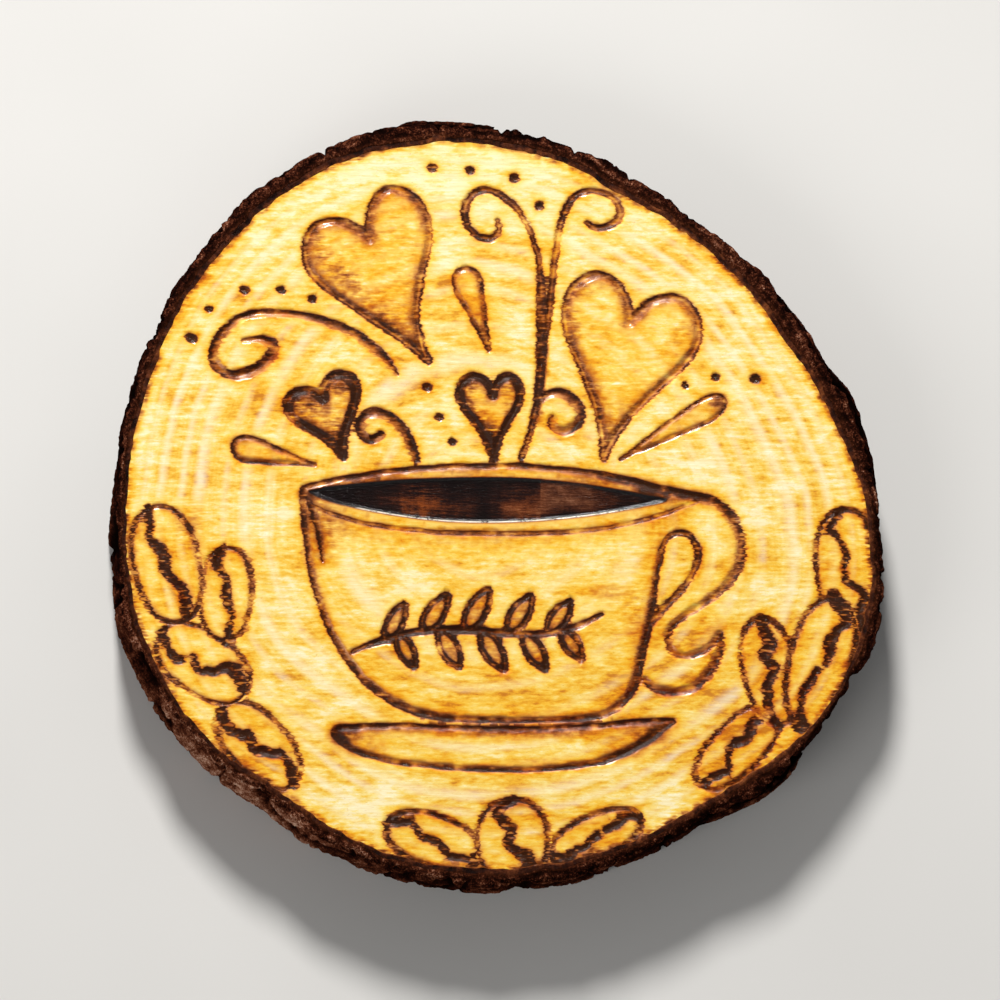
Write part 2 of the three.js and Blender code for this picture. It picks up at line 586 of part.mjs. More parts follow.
// the wood, with every groove and the pith's hole
function woodDisc() {
  let wood = logLayer([[AXIS, 0], [WOOD_EDGE, 0], [WOOD_EDGE, THICKNESS], [AXIS, THICKNESS]]);
  for (const mark of marks) {
    wood = wood.subtract(mark.build(CLEARANCE, mark.burn.floor, THICKNESS + CUT_OVERSHOOT));
  }
  return wood.subtract(pith(-CUT_OVERSHOOT, THICKNESS + CUT_OVERSHOOT));
}

const INNER_BARK_PROFILE = [
  [WOOD_EDGE, 0],
  [INNER_BARK_EDGE, 0],
  [INNER_BARK_EDGE, THICKNESS],
  [WOOD_EDGE, THICKNESS],
  [WOOD_EDGE, 0],
];
const OUTER_BARK_PROFILE = [
  [INNER_BARK_EDGE, 0],
  [BARK_EDGE, BARK_EDGE_DROP],
  ...BARK_RELIEF_LEVELS.map((z) => [BARK_EDGE, z]),
  [BARK_EDGE, THICKNESS - BARK_EDGE_DROP],
  [INNER_BARK_EDGE, THICKNESS],
  [INNER_BARK_EDGE, 0],
];

// ---------------------------------------------------------------- bark scales

// middle angle and half span in degrees, lowest and highest point
const BARK_SCALES = table(['name', 'angle', 'span', 'low', 'high'], [
  ['bark_scale_right', 20, 15, 3.0, 8.9],
  ['bark_scale_lower_right', -49, 8, 4.6, 9.4],
  ['bark_scale_top', 98, 6, 5.2, 9.3],
]);
const SCALE_STEPS = 6;
const SCALE_THICKNESS = 0.75;    // how far a scale's middle stands off the bark
const SCALE_ARCH_START = 0.12;   // the part of a half sine wave that a scale's back follows
const SCALE_ARCH_SPAN = 0.76;
const SCALE_ROOT = 0.4;          // reach into the bark before the bark is cut away
const SCALE_GAP = 0.03;          // scale to bark

const barkCutter = logLayer(OUTER_BARK_PROFILE, SCALE_GAP);

function barkScale({ angle: middle, span, low, high }) {
  const outer = [];
  const inner = [];
  for (let i = 0; i <= SCALE_STEPS; i++) {
    const share = i / SCALE_STEPS;
    const angle = degToRad(middle + span * (2 * share - 1));
    const at = angle / (2 * Math.PI) * OUTLINE_STEPS;
    const step = wrapStep(Math.floor(at));
    const bark = lerp(BARK_RADIUS[step], BARK_RADIUS[wrapStep(step + 1)], at - Math.floor(at));
    const lift = SCALE_THICKNESS * Math.sin(Math.PI * (SCALE_ARCH_START + SCALE_ARCH_SPAN * share));
    outer.push(polar(bark + lift, angle));
    inner.unshift(polar(bark - SCALE_ROOT, angle));
  }
  return prism([...outer, ...inner], low, high).subtract(barkCutter);
}

// ---------------------------------------------------------------- the assembly

const slice = new THREE.Group();
slice.name = 'burned_wood_slice';

function addPiece(name, solid, material) {
  const mesh = new THREE.Mesh(
    toGeometry(solid),
    new THREE.MeshStandardMaterial(MATERIALS[material]),
  );
  mesh.name = name;
  slice.add(mesh);
}

// the char in each groove; where two marks meet, the later one stops short of the earlier one
function addChar() {
  const boxMargin = 0.2; // marks whose boxes lie further apart than this can't meet
  const earlier = [];
  for (const mark of marks) {
    const { floor, top, material } = mark.burn;
    let solid = mark.build(0, floor, top);
    const box = solid.boundingBox();
    for (const other of earlier) {
      const apart = [0, 1].some((axis) =>
        other.box.min[axis] > box.max[axis] + boxMargin
        || other.box.max[axis] < box.min[axis] - boxMargin);
      if (apart) continue;
      const keepOut = other.mark.build(PART_GAP, floor - CUT_OVERSHOOT, top + CUT_OVERSHOOT);
      solid = solid.subtract(keepOut);
    }
    earlier.push({ mark, box });
    addPiece(mark.name, solid, material);
  }
}

addPiece('wood_disc', woodDisc(), 'wood');
addPiece('pith_core', pith(0, PITH_TOP), 'pith');
addPiece('inner_bark', logLayer(INNER_BARK_PROFILE), 'innerBark');
addPiece('outer_bark', logLayer(OUTER_BARK_PROFILE), 'outerBark');
for (const scale of BARK_SCALES) addPiece(scale.name, barkScale(scale), 'scale');
addChar();

export default slice;
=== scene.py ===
import math

import bpy
import numpy as np
from mathutils import Matrix, Vector
from mathutils.geometry import delaunay_2d_cdt


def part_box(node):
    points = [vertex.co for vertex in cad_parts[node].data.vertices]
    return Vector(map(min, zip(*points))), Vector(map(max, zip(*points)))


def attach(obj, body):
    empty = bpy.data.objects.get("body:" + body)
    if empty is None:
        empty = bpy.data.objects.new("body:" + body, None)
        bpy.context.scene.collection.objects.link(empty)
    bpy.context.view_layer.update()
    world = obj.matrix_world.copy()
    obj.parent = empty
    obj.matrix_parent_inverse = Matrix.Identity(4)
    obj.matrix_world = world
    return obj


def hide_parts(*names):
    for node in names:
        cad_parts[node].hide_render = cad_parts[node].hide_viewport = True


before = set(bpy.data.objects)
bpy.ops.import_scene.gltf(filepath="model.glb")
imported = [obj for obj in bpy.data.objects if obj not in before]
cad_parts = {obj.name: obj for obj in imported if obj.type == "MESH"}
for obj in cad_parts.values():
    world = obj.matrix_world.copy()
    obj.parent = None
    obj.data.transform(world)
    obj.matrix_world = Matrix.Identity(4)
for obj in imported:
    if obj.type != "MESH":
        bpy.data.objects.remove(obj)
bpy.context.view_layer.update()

MM = 0.001
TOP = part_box("wood_disc")[1].z / MM
PITH = ((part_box("pith_core")[0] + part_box("pith_core")[1]) / 2 / MM)[:2]
PITH_R = 1.2
PITH_STEPS = 24
RIM_STEPS = 720      # vertices around the wood
BARK_STEPS = 1080    # vertices around the bark
EDGE = 0.05          # a char piece reaches this far past its stroke's nominal edge
LINE_STEP = 0.24     # spacing of the points along a stroke
FRONT_GAP = 0.10     # a bean's burn stops this far from a bean in front of it
RIM_GAP = 0.16       # and this far from the edge of the wood
FAR = 9.0            # distance given to points that no mark is near

# ------------------------------------------------------------------ outline and drawing

# edge of the wood and outer edge of the bark, one radius every 2.5 degrees, anticlockwise from +X
WOOD_R = [
    42.71, 42.36, 41.92, 41.42, 40.94, 40.49, 40.11, 39.78, 39.51, 39.25, 38.98, 38.71,
    38.51, 38.41, 38.38, 38.39, 38.41, 38.42, 38.43, 38.43, 38.44, 38.45, 38.48, 38.52,
    38.57, 38.63, 38.72, 38.85, 39.08, 39.44, 39.90, 40.33, 40.66, 40.94, 41.20, 41.48,
    41.80, 42.13, 42.43, 42.67, 42.85, 43.00, 43.17, 43.37, 43.56, 43.71, 43.83, 43.92,
    43.98, 44.01, 44.01, 43.99, 43.93, 43.82, 43.69, 43.59, 43.56, 43.57, 43.59, 43.59,
    43.55, 43.45, 43.32, 43.23, 43.18, 43.16, 43.14, 43.14, 43.14, 43.16, 43.19, 43.27,
    43.38, 43.53, 43.67, 43.80, 43.91, 44.03, 44.12, 44.17, 44.19, 44.19, 44.18, 44.17,
    44.14, 44.09, 43.99, 43.81, 43.60, 43.33, 42.97, 42.60, 42.35, 42.27, 42.29, 42.35,
    42.46, 42.57, 42.65, 42.71, 42.76, 42.79, 42.79, 42.79, 42.77, 42.70, 42.59, 42.48,
    42.41, 42.37, 42.36, 42.36, 42.33, 42.27, 42.20, 42.14, 42.11, 42.07, 42.02, 41.97,
    41.94, 41.95, 42.02, 42.20, 42.49, 42.83, 43.18, 43.58, 43.98, 44.32, 44.57, 44.75,
    44.85, 44.88, 44.88, 44.84, 44.74, 44.62, 44.50, 44.35, 44.08, 43.71, 43.33, 43.01,
]
BARK_R = [
    44.48, 44.14, 43.75, 43.47, 43.27, 43.12, 43.02, 42.72, 42.12, 41.54, 41.23, 41.15,
    41.12, 41.10, 41.10, 41.12, 41.15, 41.02, 40.73, 40.60, 40.65, 40.70, 40.77, 40.89,
    40.93, 40.99, 41.10, 41.38, 41.85, 42.30, 42.50, 42.50, 42.72, 43.11, 43.46, 43.73,
    43.84, 43.95, 44.23, 44.52, 44.93, 45.39, 45.68, 45.89, 46.00, 46.03, 46.05, 46.06,
    46.12, 46.27, 46.44, 46.45, 46.28, 46.09, 45.93, 45.76, 45.62, 45.55, 45.52, 45.44,
    45.25, 45.13, 45.12, 45.09, 44.98, 44.87, 44.83, 44.83, 44.78, 44.68, 44.61, 44.58,
    44.68, 44.93, 45.06, 45.07, 45.13, 45.35, 45.74, 46.03, 45.96, 45.67, 45.54, 45.57,
    45.55, 45.49, 45.33, 45.06, 44.88, 44.78, 44.58, 44.30, 44.03, 43.84, 43.81, 43.97,
    44.20, 44.26, 44.17, 44.22, 44.40, 44.53, 44.58, 44.59, 44.61, 44.68, 44.78, 44.77,
    44.62, 44.46, 44.35, 44.32, 44.35, 44.29, 44.10, 43.94, 43.88, 43.90, 43.97, 44.01,
    43.94, 43.79, 43.87, 44.33, 44.93, 45.36, 45.58, 45.62, 45.60, 45.64, 45.76, 45.80,
    45.78, 45.81, 46.10, 46.66, 46.86, 46.74, 46.51, 46.06, 45.60, 45.20, 44.85, 44.65,
]

# burned strokes: (x, y, half width) along the middle line
STROKES = {
    "cup_rim": [
        [(-22.96, 1.66, 0.35), (-18.66, 2.71, 0.35), (-11.68, 3.76, 0.35), (-4.7, 4.28, 0.35),
         (2.27, 4.34, 0.35), (9.25, 3.81, 0.37), (15.06, 2.71, 0.47), (19.48, 1.55, 0.58),
         (23.44, 0.85, 0.52)],
    ],
    "cup_wall": [
        [(-22.96, 1.31, 0.47), (-22.78, -2.52, 0.4), (-22.15, -7.41, 0.35),
         (-20.87, -12.17, 0.35), (-19.01, -16.36, 0.4), (-16.45, -19.97, 0.47),
         (-13.31, -22.64, 0.51), (-9.82, -24.27, 0.49), (-6.33, -25.02, 0.44)],
        [(-6.33, -25.02, 0.44), (-0.05, -25.26, 0.37), (6.34, -25.2, 0.37), (11.58, -24.73, 0.47)],
        [(11.58, -24.73, 0.47), (14.02, -23.34, 0.58), (15.53, -21.13, 0.6), (16.34, -18.22, 0.56),
         (16.92, -15.66, 0.51), (17.51, -13.1, 0.47), (17.97, -10.31, 0.4), (18.38, -7.41, 0.35),
         (18.9, -4.97, 0.35)],
        [(-22.84, 0.85, 0.35), (-21.8, -1.01, 0.42), (-21.1, -3.8, 0.37), (-20.69, -6.83, 0.14)],
    ],
    "cup_lip": [
        [(-22.61, 0.03, 0.19), (-19.82, -1.24, 0.23), (-15.17, -2.52, 0.26), (-8.19, -3.34, 0.28),
         (-0.05, -3.57, 0.3), (8.09, -3.28, 0.28), (14.48, -2.41, 0.26), (19.72, -0.9, 0.26),
         (23.2, 0.5, 0.23)],
    ],
    "cup_handle": [
        [(23.2, 0.85, 0.52), (25.18, 0.27, 0.52), (26.92, -1.24, 0.56), (27.91, -3.34, 0.6),
         (28.09, -5.78, 0.63), (27.33, -8.1, 0.58), (25.7, -10.08, 0.53), (23.67, -11.59, 0.49),
         (21.58, -12.99, 0.47), (20.01, -14.38, 0.47), (19.48, -15.9, 0.47), (20.18, -17.23, 0.47),
         (21.69, -17.64, 0.42), (23.32, -17.23, 0.42), (24.72, -16.24, 0.49), (25.53, -15.2, 0.47)],
        [(16.81, -20.55, 0.42), (18.2, -21.48, 0.47), (20.3, -21.83, 0.52), (22.39, -21.36, 0.56),
         (24.02, -19.97, 0.58), (25.18, -18.22, 0.6), (25.65, -16.48, 0.51), (25.53, -15.2, 0.47)],
    ],
    "handle_loop": [
        [(18.78, -5.31, 0.35), (19.6, -3.92, 0.37), (20.99, -3.34, 0.4), (22.33, -3.92, 0.42),
         (23.09, -5.55, 0.44), (22.74, -7.41, 0.44), (21.69, -9.27, 0.44), (20.18, -11.01, 0.47),
         (18.67, -12.52, 0.51), (17.39, -14.03, 0.53)],
    ],
    "saucer": [
        [(-18.54, -27.64, 0.58), (-19.12, -26.83, 0.76), (-18.19, -26.24, 0.52),
         (-13.42, -25.95, 0.35), (-7.03, -26.07, 0.33), (-0.05, -26.24, 0.3), (6.92, -26.13, 0.33),
         (12.74, -25.72, 0.35), (17.39, -25.31, 0.44), (20.06, -25.31, 0.42)],
        [(20.06, -25.31, 0.42), (18.2, -26.71, 0.58), (15.99, -28.22, 0.63), (13.2, -29.5, 0.53),
         (9.83, -30.37, 0.42), (4.6, -30.9, 0.35), (-1.22, -30.95, 0.35), (-7.03, -30.66, 0.37),
         (-12.26, -30.08, 0.37), (-16.33, -29.03, 0.4), (-18.54, -27.64, 0.58)],
    ],
    "scroll_large_left": [
        [(-12.03, 15.03, 0.16), (-13.54, 17.01, 0.51), (-15.75, 18.87, 0.6), (-18.31, 20.38, 0.53),
         (-21.22, 21.43, 0.47), (-24.47, 22.01, 0.42), (-27.73, 22.07, 0.47), (-30.4, 21.43, 0.51),
         (-32.38, 19.8, 0.58), (-33.42, 17.71, 0.58), (-33.08, 15.85, 0.58), (-31.22, 14.8, 0.63),
         (-28.89, 15.33, 0.7), (-27.03, 16.66, 0.74), (-26.39, 18.12, 0.7), (-27.61, 18.99, 0.51),
         (-29.94, 18.81, 0.16)],
    ],
    "scroll_twin_stem": [
        [(2.45, 5.38, 0.4), (3.55, 8.52, 0.47), (4.42, 12.59, 0.6), (4.77, 17.83, 0.77),
         (4.83, 22.48, 0.7), (4.66, 26.9, 0.51), (4.19, 29.57, 0.42), (3.38, 32.01, 0.4),
         (2.04, 34.34, 0.44), (0.18, 35.97, 0.47), (-1.68, 36.66, 0.49), (-3.19, 36.08, 0.49),
         (-4.12, 34.51, 0.53), (-3.89, 32.59, 0.53), (-2.61, 31.2, 0.51), (-1.04, 30.97, 0.49),
         (-0.17, 31.9, 0.47), (-0.28, 33, 0.33)],
        [(4.77, 16.43, 0.35), (5.53, 21.08, 0.51), (5.99, 24.8, 0.53), (6.34, 28.52, 0.51),
         (6.81, 31.55, 0.47), (7.45, 33.99, 0.47), (8.44, 35.73, 0.47), (9.89, 36.55, 0.42),
         (11.75, 36.49, 0.42), (13.26, 35.73, 0.47), (14.02, 34.45, 0.53), (13.78, 33.29, 0.53),
         (12.68, 32.59, 0.51), (11.23, 32.36, 0.47), (10.18, 32.88, 0.35)],
    ],
    "scroll_small_left": [
        [(-9.82, 5.15, 0.42), (-10.28, 6.55, 0.56), (-11.1, 8.17, 0.58), (-12.32, 9.63, 0.58),
         (-14.01, 10.5, 0.58), (-15.52, 10.27, 0.56), (-16.39, 9.1, 0.58), (-16.04, 7.83, 0.58),
         (-14.94, 7.3, 0.56), (-13.89, 7.88, 0.47)],
    ],
    "scroll_small_right": [
        [(4.6, 12.24, 0.35), (6.34, 13, 0.49), (7.97, 12.59, 0.58), (9.13, 11.43, 0.63),
         (9.31, 10.03, 0.63), (8.44, 8.87, 0.58), (7.16, 8.47, 0.58), (6.11, 9.05, 0.56),
         (6.11, 9.92, 0.47)],
    ],
}

COFFEE_EDGE = [
    (-22.38, 1.31), (-19.82, 1.84), (-16.33, 2.24), (-11.68, 2.65), (-7.03, 2.88), (-2.38, 3),
    (2.27, 2.94), (6.92, 2.59), (11.58, 2.01), (16.23, 1.2), (19.48, 0.5), (16.23, -0.37),
    (11.58, -1.19), (6.92, -1.77), (2.27, -2.12), (-2.38, -2.23), (-7.03, -2.06),
    (-11.68, -1.53), (-16.33, -0.72), (-19.82, 0.15),
]

# stem, leaves as (x, y of the foot, angle, length, width, half line), and one leaf's edge in
# shares of its width and length
SPRIG_STEM = [
    (-17.26, -17.29, 0.28), (-13.42, -15.9, 0.47), (-9.35, -14.97, 0.53), (-4.7, -14.73, 0.56),
    (-0.05, -15.08, 0.56), (4.6, -15.2, 0.51), (8.67, -14.38, 0.44), (11.81, -12.87, 0.28),
]
SPRIG_LEAVES = [
    (-13.31, -15.9, 62, 4.65, 1.98, 0.42), (-8.89, -14.97, 58, 5.12, 2.21, 0.42),
    (-4.01, -14.73, 60, 5.35, 2.33, 0.42), (0.88, -15.08, 58, 5.12, 2.21, 0.42),
    (5.53, -15.08, 54, 4.65, 1.98, 0.42), (-11.91, -15.43, -62, 4.19, 1.86, 0.42),
    (-7.03, -14.85, -62, 4.88, 2.09, 0.42), (-2.15, -14.97, -60, 5.12, 2.21, 0.42),
    (2.74, -15.2, -58, 4.88, 2.09, 0.42), (7.16, -14.73, -56, 4.19, 1.86, 0.42),
]
LEAF_EDGE = [(0, -0.5), (0.30, -0.36), (0.47, -0.12), (0.42, 0.16), (0.22, 0.37), (0, 0.5),
             (-0.22, 0.37), (-0.42, 0.16), (-0.47, -0.12), (-0.30, -0.36)]

# name, x, y of the tip, tilt, length, left and right half width, left and right lobe height,
# bow, half line, heat, toast (base, at the line, falloff), softness
HEARTS = [
    ("heart_large_left", -8.4, 16.55, 25.5, 20.5, 7.9, 7.1, 0.97, 0.985, -0.75, 0.50,
     1.8, (0.28, 0.16, 0.8), 1.0),
    ("heart_large_right", 12.04, 5.35, -11, 21.0, 7.7, 8.2, 1.0, 0.955, 0.1, 0.54,
     1.6, (0.17, 0.16, 0.8), 1.0),
    ("heart_small_left", -18.3, 5.4, 19, 9.3, 4.4, 4.0, 0.95, 0.99, 0.0, 0.66,
     2.1, (0.16, 0.62, 0.7), 0.2),
    ("heart_small_centre", -0.75, 5.2, 1, 9.7, 3.9, 3.2, 1.0, 0.99, 0.0, 0.56,
     1.95, (0.18, 0.55, 0.6), 0.2),
]
# one side in shares of the full width and length, and the line's share of its width on it
HEART_SIDE = [(0.03, 0.10), (0.13, 0.27), (0.28, 0.45), (0.43, 0.62), (0.50, 0.78),
              (0.45, 0.92), (0.31, 1.0), (0.15, 0.965), (0.045, 0.87)]
HEART_NOTCH = 0.775
HEART_LINE = (1.0, 1.05, 0.95, 0.9, 0.95, 1.05, 1.1, 1.0, 0.95, 1.15, 1.3)

# name, x, y of the tip, tilt, length, width, half line, heat
DROPS = [
    ("drop_left", -21.56, 4.34, 77, 9.77, 2.79, 0.33, 2.1),
    ("drop_centre", -1.33, 17.94, 18, 9.88, 3.14, 0.35, 1.7),
    ("drop_right", 14.02, 5.27, -60, 14.07, 2.67, 0.28, 1.5),
]
DROP_SIDE = [(0.10, 0.18), (0.24, 0.40), (0.39, 0.62), (0.49, 0.80), (0.40, 0.93), (0.16, 0.995)]

# name, x, y, tilt, length, width, outline half width, crease half width, crease side,
# beans in front
BEANS = [
    ("bean_left_1", -38.77, -7.29, 13, 13.72, 7.67, 0.4, 0.53, -1, []),
    ("bean_left_2", -31.91, -10.66, -3, 10.93, 6.05, 0.37, 0.47, -1, ["bean_left_1"]),
    ("bean_left_3", -34.47, -18.8, 56, 12.09, 7.21, 0.35, 0.58, -1,
     ["bean_left_1", "bean_left_2"]),
    ("bean_left_4", -28.08, -28.22, 43, 12.09, 6.74, 0.37, 0.56, -1, ["bean_left_3"]),
    ("bean_bottom_2", 1.46, -39.15, 2, 9.53, 8.14, 0.44, 0.65, -1, []),
    ("bean_bottom_1", -7.73, -39.27, 70, 11.4, 6.05, 0.47, 0.51, 1, ["bean_bottom_2"]),
    ("bean_bottom_3", 11.11, -38.8, -66, 11.4, 5.12, 0.47, 0.49, -1, ["bean_bottom_2"]),
    ("bean_right_2", 37.39, -18.34, -15, 15.35, 7.44, 0.44, 0.65, 1, []),
    ("bean_right_1", 40.76, -7.64, 6, 14.19, 7.67, 0.37, 0.49, -1, ["bean_right_2"]),
    ("bean_right_3", 31.46, -19.5, 13, 12.56, 6.28, 0.42, 0.63, 1, ["bean_right_2"]),
    ("bean_right_4", 27.74, -28.22, -45, 12.79, 5.81, 0.4, 0.49, -1,
     ["bean_right_2", "bean_right_3"]),
]
# the S bend of a bean's crease, in shares of its width and length
CREASE = np.array([(-0.02, -0.5), (-0.13, -0.36), (-0.16, -0.22), (-0.03, -0.10), (0.05, 0.0),
                   (0.02, 0.12), (0.13, 0.24), (0.14, 0.36), (0.02, 0.5)])

# single dots: name, x, y, radius
DOTS = [
    ("dot_top_1", -7.96, 39.1, 0.7), ("dot_top_2", -3.54, 38.99, 0.6),
    ("dot_top_3", 1.58, 38.06, 0.72), ("dot_top_4", 4.6, 34.86, 0.67),
    ("dot_left_1", -35.98, 18.99, 0.72), ("dot_left_2", -33.89, 22.48, 0.51),
    ("dot_left_3", -29.82, 24.69, 0.7), ("dot_left_4", -25.52, 24.8, 0.63),
    ("dot_left_5", -21.91, 23.7, 0.67), ("dot_centre_1", -8.54, 13.41, 0.65),
    ("dot_centre_2", -7.09, 9.98, 0.65), ("dot_centre_3", -5.63, 7.13, 0.58),
    ("dot_right_1", 21.69, 13.93, 0.56), ("dot_right_2", 25.24, 14.92, 0.67),
    ("dot_right_3", 29.83, 14.74, 0.77),
]

# how much each kind of stroke breaks up over the saw lines, by the start of its name
RAGGED = {
    "bean": 1.0, "dot": 0.4, "heart_small": 0.45, "heart_large": 0.6, "scroll": 0.45,
    "cup_handle": 0.9, "handle_loop": 0.4, "cup_wall": 0.35, "cup_rim": 0.2, "cup_lip": 0.5,
    "saucer": 0.25, "drop": 0.35, "leaf": 0.35, "coffee": 0.1,
}

# soft spots: (x, y, reach along x, reach along y, amount, optional turn in degrees)
# browned wood around the drawing
TOAST_SPOTS = [
    (-17.6, -27.0, 2.2, 1.0, 0.8), (17.5, -26.2, 3.2, 1.2, 0.7), (-21.0, 0.8, 2.6, 0.8, 1.0),
    (21.5, 1.0, 3.0, 0.8, 1.0), (25.4, 12.0, 1.3, 1.1, 0.9), (-20.0, -3.5, 1.6, 3.4, 0.45),
    (15.6, -13.5, 1.8, 3.6, 0.40), (12.0, -10.2, 2.6, 1.3, 0.55), (-36.4, -3.4, 2.0, 2.6, 0.30),
    (30.5, 14.8, 1.6, 0.7, 0.35), (24.6, -14.2, 2.0, 1.6, 0.45), (-27.5, 13.0, 3.4, 2.4, 0.10),
    (-25.5, -24.0, 3.0, 2.0, 0.16), (-30.8, 7.4, 1.6, 1.0, 0.25), (17.0, 1.5, 2.5, 2.0, 0.30),
    (31.3, -7.5, 3.0, 0.5, 0.22), (-20.0, 14.9, 2.5, 1.1, 0.20), (38.0, -8.0, 1.5, 3.0, 0.15),
    (-14.0, 2.7, 4.6, 0.6, 0.75), (-3.5, 3.7, 3.0, 0.5, 0.35), (11.5, 2.7, 5.0, 0.6, 0.75),
    (17.5, 1.5, 3.0, 0.7, 0.9), (0.5, -26.6, 8.5, 0.7, 1.0), (8.5, -26.5, 2.6, 0.6, 0.7),
    (-18.6, -26.9, 0.9, 1.2, 1.6), (-15.6, -29.0, 2.4, 0.6, 0.45), (-14.4, -27.6, 3.0, 1.1, 0.28),
    (-12.0, -26.3, 3.0, 0.5, 0.5), (14.6, -28.9, 2.4, 0.8, 0.9), (17.3, -27.2, 1.8, 0.9, 1.0),
    (-35.5, -2.0, 1.5, 2.0, 0.2), (5.5, 40.0, 3.0, 1.0, 0.15),
]
# shaded flanks, kept inside each heart's line
HEART_SPOTS = {
    "heart_large_left": [
        (-18.6, 26.6, 3.4, 1.3, 0.62, -42), (-13.3, 20.8, 3.6, 1.2, 0.62, -46),
        (-21.6, 31.0, 0.9, 2.0, 0.35, 12), (-17.8, 34.6, 2.6, 0.8, 0.30, 8)],
    "heart_large_right": [
        (8.6, 20.5, 0.9, 3.4, 0.45, 8), (10.8, 12.0, 0.9, 3.6, 0.70, 10),
        (9.9, 25.2, 2.0, 1.0, 0.40, 12), (20.6, 19.6, 2.6, 0.8, 0.30, 55),
        (16.8, 26.2, 2.6, 0.7, 0.30, -6)],
    "heart_small_left": [
        (-23.3, 11.7, 1.6, 1.3, 0.9, -40), (-21.2, 11.2, 1.3, 0.7, 0.8, -15),
        (-17.8, 13.4, 1.7, 0.8, 1.3, -15), (-19.0, 7.9, 0.8, 2.4, 0.9, 20),
        (-21.8, 9.3, 2.6, 0.5, 0.6, -38)],
    "heart_small_centre": [
        (-3.0, 9.9, 3.6, 0.75, 1.3, -58), (-1.0, 7.3, 0.8, 2.0, 1.6, 6),
        (-3.6, 13.6, 1.5, 0.9, 0.7, 20), (0.9, 13.9, 1.6, 0.9, 0.55), (1.6, 11.0, 0.7, 2.0, 0.35, -30)],
}
# deeper and paler honey colour in the bare wood
WARM_SPOTS = [
    (25, -22, 16, 12, 0.34), (0, -30, 26, 9, 0.28), (-30, 5, 12, 26, 0.12), (26, 24, 12, 10, 0.04),
    (0, 41, 20, 5, -0.34), (2, -12, 16, 10, 0.06), (36, -2, 7, 18, 0.10), (-4, 20, 7, 6, 0.26),
    (33, 6, 3, 5, 0.14), (19, -35, 7, 4, -0.24), (-20, -34, 8, 4, -0.20), (3, -28.6, 10, 1.6, -0.30),
    (-27, 12, 5, 3, 0.16), (-22, 17, 3, 2, 0.16),
]

# ------------------------------------------------------------------ noise and curves


def hashed(ix, iy, seed):
    bits = (ix.astype(np.int64) * 374761393 + iy.astype(np.int64) * 668265263
            + seed * 982451653) & 0xFFFFFFFF
    bits = ((bits ^ (bits >> 13)) * 1274126177) & 0xFFFFFFFF
    return ((bits ^ (bits >> 16)) & 0xFFFFFF) / float(0xFFFFFF)


def noise(x, y, seed, period=None):
    """Smooth value noise, -1 to 1; period wraps x."""
    x, y = np.broadcast_arrays(np.asarray(x, float), np.asarray(y, float))
    ix, iy = np.floor(x).astype(np.int64), np.floor(y).astype(np.int64)
    fx, fy = x - ix, y - iy
    fx, fy = fx * fx * (3 - 2 * fx), fy * fy * (3 - 2 * fy)
    ix2 = ix + 1
    if period:
        ix, ix2 = ix % period, ix2 % period
    low = hashed(ix, iy, seed) * (1 - fx) + hashed(ix2, iy, seed) * fx
    high = hashed(ix, iy + 1, seed) * (1 - fx) + hashed(ix2, iy + 1, seed) * fx
    return 2 * (low * (1 - fy) + high * fy) - 1


def around(turn, cells, y, seed):
    """Noise that closes on itself after one turn."""
    return noise(turn * cells, y, seed, cells)


def fractal(x, y, octaves, seed, gain=0.5, period=None):
    total, amplitude, norm = 0.0, 1.0, 0.0
    for k in range(octaves):
        wrap = period * 2 ** k if period else None
        total = total + amplitude * noise(x * 2 ** k, y * 2 ** k, seed + 17 * k, wrap)
        norm += amplitude
        amplitude *= gain
    return total / norm


def spline(a, b, c, d, t):
    """Catmull-Rom curve from b to c."""
    return 0.5 * (2 * b + (c - a) * t + (2 * a - 5 * b + 4 * c - d) * t ** 2
                  + (3 * b - a - 3 * c + d) * t ** 3)


def table_radius(table, theta):
    table = np.asarray(table, float)
    count = len(table)
    place_in = np.asarray(theta, float) / (2 * np.pi) * count
    i = np.floor(place_in).astype(int)
    return spline(*(table[(i + k) % count] for k in (-1, 0, 1, 2)), place_in - i)


def turn_of(theta):
    return np.mod(np.asarray(theta, float), 2 * np.pi) / (2 * np.pi)


def wood_radius(theta):
    turn = turn_of(theta)
    return (table_radius(WOOD_R, theta) + 0.13 * around(turn, 130, 0.0, 3)
            + 0.10 * around(turn, 330, 0.0, 5))


def inner_radius(theta):
    """Where the inner bark meets the outer bark."""
    gap = table_radius(BARK_R, theta) - table_radius(WOOD_R, theta)
    return (wood_radius(theta) + np.clip(0.30 * gap, 0.30, 0.65)
            + 0.10 * around(turn_of(theta), 210, 0.0, 8))


def bark_radius(theta):
    return np.maximum(table_radius(BARK_R, theta), inner_radius(theta) + 0.55)


def smooth(rows, steps, closed=False):
    rows = np.asarray(rows, float)
    if closed:
        extended = np.vstack([rows[-1:], rows, rows[:2]])
    else:
        extended = np.vstack([2 * rows[:1] - rows[1:2], rows, 2 * rows[-1:] - rows[-2:-1]])
    t = np.arange(steps)[:, None] / steps
    out = np.vstack([spline(*extended[i:i + 4], t) for i in range(len(extended) - 3)])
    return out if closed else np.vstack([out, rows[-1:]])


def resample(rows, step, closed=False):
    """Even spacing along the line."""
    rows = np.vstack([rows, rows[:1]]) if closed else rows
    lengths = np.hypot(*(rows[1:, :2] - rows[:-1, :2]).T)
    travel = np.concatenate([[0], np.cumsum(lengths)])
    count = max(2, int(round(travel[-1] / step)))
    at = np.linspace(0, travel[-1], count + 1)
    out = np.column_stack([np.interp(at, travel, column) for column in rows.T])
    return out[:-1] if closed else out


def place(x, y, tilt, points):
    turn = math.radians(tilt)
    across, along = np.asarray(points, float).T
    return np.column_stack([x + across * math.cos(turn) - along * math.sin(turn),
                            y + across * math.sin(turn) + along * math.cos(turn)])


